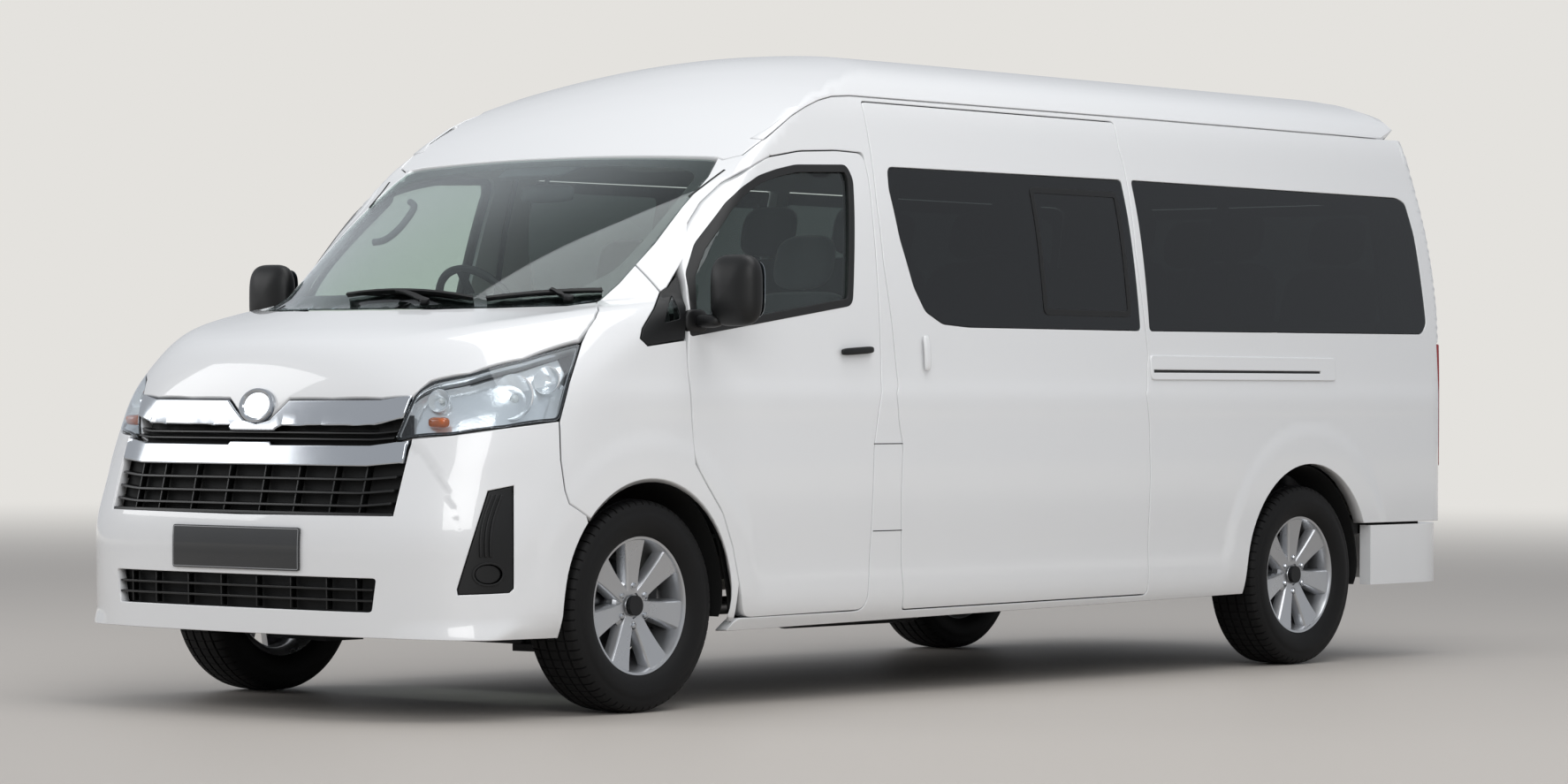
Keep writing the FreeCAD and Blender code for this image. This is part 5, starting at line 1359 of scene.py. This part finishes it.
# Gutter trims along the roof in enamelled steel, pressed on over the welded joint, with cabin lining behind it, and
# the rubber joint down each front pillar.
gutter = strip(from_side, [(y, z + 0.004) for y, z in GUTTER_LINE] + [(2.30, 2.096), (2.60, 2.094)], 0.009, -0.002,
               0.004, 0.002)
dress("gutter_trims", "root", paired(gutter), paint)
lining = strip(from_side, GUTTER_LINE + [(2.30, 2.092), (2.60, 2.090)], 0.045, -0.062, -0.056, 0.002)
dress("roof_joint_linings", "root", paired(lining), trim_grey)
SLOT_LINE = [(0.757, -1.592, 1.706), (0.780, -1.503, 1.767), (0.796, -1.454, 1.801)]
pillar_slot = strip(from_corner, seen_in(from_corner, SLOT_LINE), 0.007, -0.001, 0.0012, 0.0004, 0.02)
dress("pillar_slots", "root", paired(pillar_slot), rubber_seal)

# The cabin behind the glass: padded cloth seats on dark pedestals, the driver's on the right, and an inner mirror,
# sensor cover, visors and grab handle at the windscreen.
def cushion_form(centre, half, lean, dish, square=4.5, flat_square=3.5):
    """A stuffed form with rounded edges that leans back with height and may be dished between side bolsters."""
    points, faces = rounded_form(np.zeros(3), half, square, flat_square, 40, 20)
    share = points[:, 0] / half[0]
    points[:, 1] += points[:, 2] * lean + dish * np.exp(-(share / 0.55) ** 2) * (points[:, 1] < 0)
    return points + centre, faces


SEAT_LEAN = 0.24
CABIN_FLOOR = 0.56


def seat_forms(x, y, z, width, back_height):
    """The soft parts of one seat: cushion, leaning back and head rest."""
    half = width / 2
    cushion, faces = rounded_form(np.zeros(3), (half, 0.078, 0.262), 4.5, 3.0, 40, 18)
    flat = cushion[:, [0, 2, 1]]
    flat[:, 2] -= 0.018 * np.exp(-(flat[:, 0] / (0.6 * half)) ** 2) * (flat[:, 2] > 0)
    seat_cushion = flat + (x, y - 0.005, z + 0.072), [face[::-1] for face in faces]
    back_middle = (x, y + 0.25 + SEAT_LEAN * back_height / 2, z + 0.10 + back_height / 2)
    seat_back = cushion_form(back_middle, (half, 0.062, back_height / 2 + 0.01), SEAT_LEAN, 0.022)
    rest_at = (x, y + 0.25 + SEAT_LEAN * (back_height + 0.1), z + back_height + 0.215)
    head_rest = cushion_form(rest_at, (0.128, 0.048, 0.098), SEAT_LEAN, 0.008, 3.2, 2.6)
    return joined(seat_cushion, seat_back, head_rest)


def pedestal(x, y, z):
    """A seat's base on the cabin floor."""
    height = z - CABIN_FLOOR
    return rounded_form(np.array([x, y, CABIN_FLOOR + height / 2]), (0.17, 0.19, height / 2 + 0.01), 8.0, 8.0, 28, 14)


def seats(name, base_name, places, stands_for):
    """Seats as one padded piece, and their bases as another."""
    soft = dress(name, "root", joined(*[seat_forms(*place) for place in places]), seat_cloth, stands_for)
    dress(base_name, "root", joined(*[pedestal(*place[:3]) for place in places]), dash_plastic)


for side, x, stands_for in (("right", -0.43, "front_seats"), ("left", 0.43, None)):
    seats("front_seat_" + side, "front_seat_base_" + side, [(x, -1.0, 0.74, 0.50, 0.56)], stands_for)
for row, y in enumerate((0.01, 0.74, 1.47, 2.20), 1):
    places = [(x, y, 0.90, 0.44, 0.56) for x in (-0.59, -0.13, 0.59)]
    seats("seat_row_%d" % row, "seat_row_bases_%d" % row, places, "passenger_seats" if row == 1 else None)


def tube(places, radius, around=12):
    """A round tube along points, with the same section at each."""
    line = np.array(places, float)
    way = np.gradient(line, axis=0)
    way /= np.linalg.norm(way, axis=1)[:, None]
    first = np.cross(way, (0.3, 0.2, 1.0))
    first /= np.linalg.norm(first, axis=1)[:, None]
    second = np.cross(way, first)
    turn = np.linspace(0, 2 * math.pi, around, endpoint=False)
    points = line[:, None] + radius * (np.cos(turn)[None, :, None] * first[:, None]
                                       + np.sin(turn)[None, :, None] * second[:, None])
    ends = [list(range(around))[::-1], [(len(line) - 1) * around + j for j in range(around)]]
    return points.reshape(-1, 3), [face[:1] + face[:0:-1] for face in quads(len(line), around)] + ends


inner_grey = surface("dark_grey_cabin_plastic", "3B4045", 0.55, (0.0014, 0.2, 0.0004))
cabin_mirror = joined(rounded_form(np.array([0.015, -1.492, 1.738]), (0.122, 0.020, 0.032), 4.0, 2.6, 40, 14),
                      tube([(0.0, -1.485, 1.76), (0.0, -1.475, 1.79), (0.0, -1.480, 1.83)], 0.009))
SENSOR = [(-0.20, -1.468, 1.848), (0.17, -1.468, 1.848), (0.13, -1.560, 1.790), (-0.16, -1.560, 1.790)]
sensor = panel_mesh(over_screen, seam(SENSOR, over_screen, gap=0.0, radius=0.02), (), 0.012, 0.03, 0.004, 0.010)
GRIP = [(-0.668, -1.478, 1.726), (-0.636, -1.490, 1.712), (-0.622, -1.530, 1.672), (-0.632, -1.590, 1.612),
        (-0.660, -1.628, 1.582), (-0.690, -1.640, 1.578)]
pad, pad_faces = rounded_form(np.zeros(3), (0.19, 0.010, 0.072), 5.0, 2.6, 40, 10)
visor = pad[:, [0, 2, 1]]
visor[:, 2] += -0.35 * visor[:, 1]
visors = [(visor + (x, -1.325, 1.842), [face[::-1] for face in pad_faces]) for x in (-0.36, 0.38)]
dress("cabin_mirror", "root", cabin_mirror, inner_grey)
dress("sensor_cover", "root", sensor, inner_grey)
dress("grab_handle", "root", tube(curve_through(GRIP, 24), 0.0125), inner_grey)
dress("sun_visors", "root", joined(*visors), trim_grey)
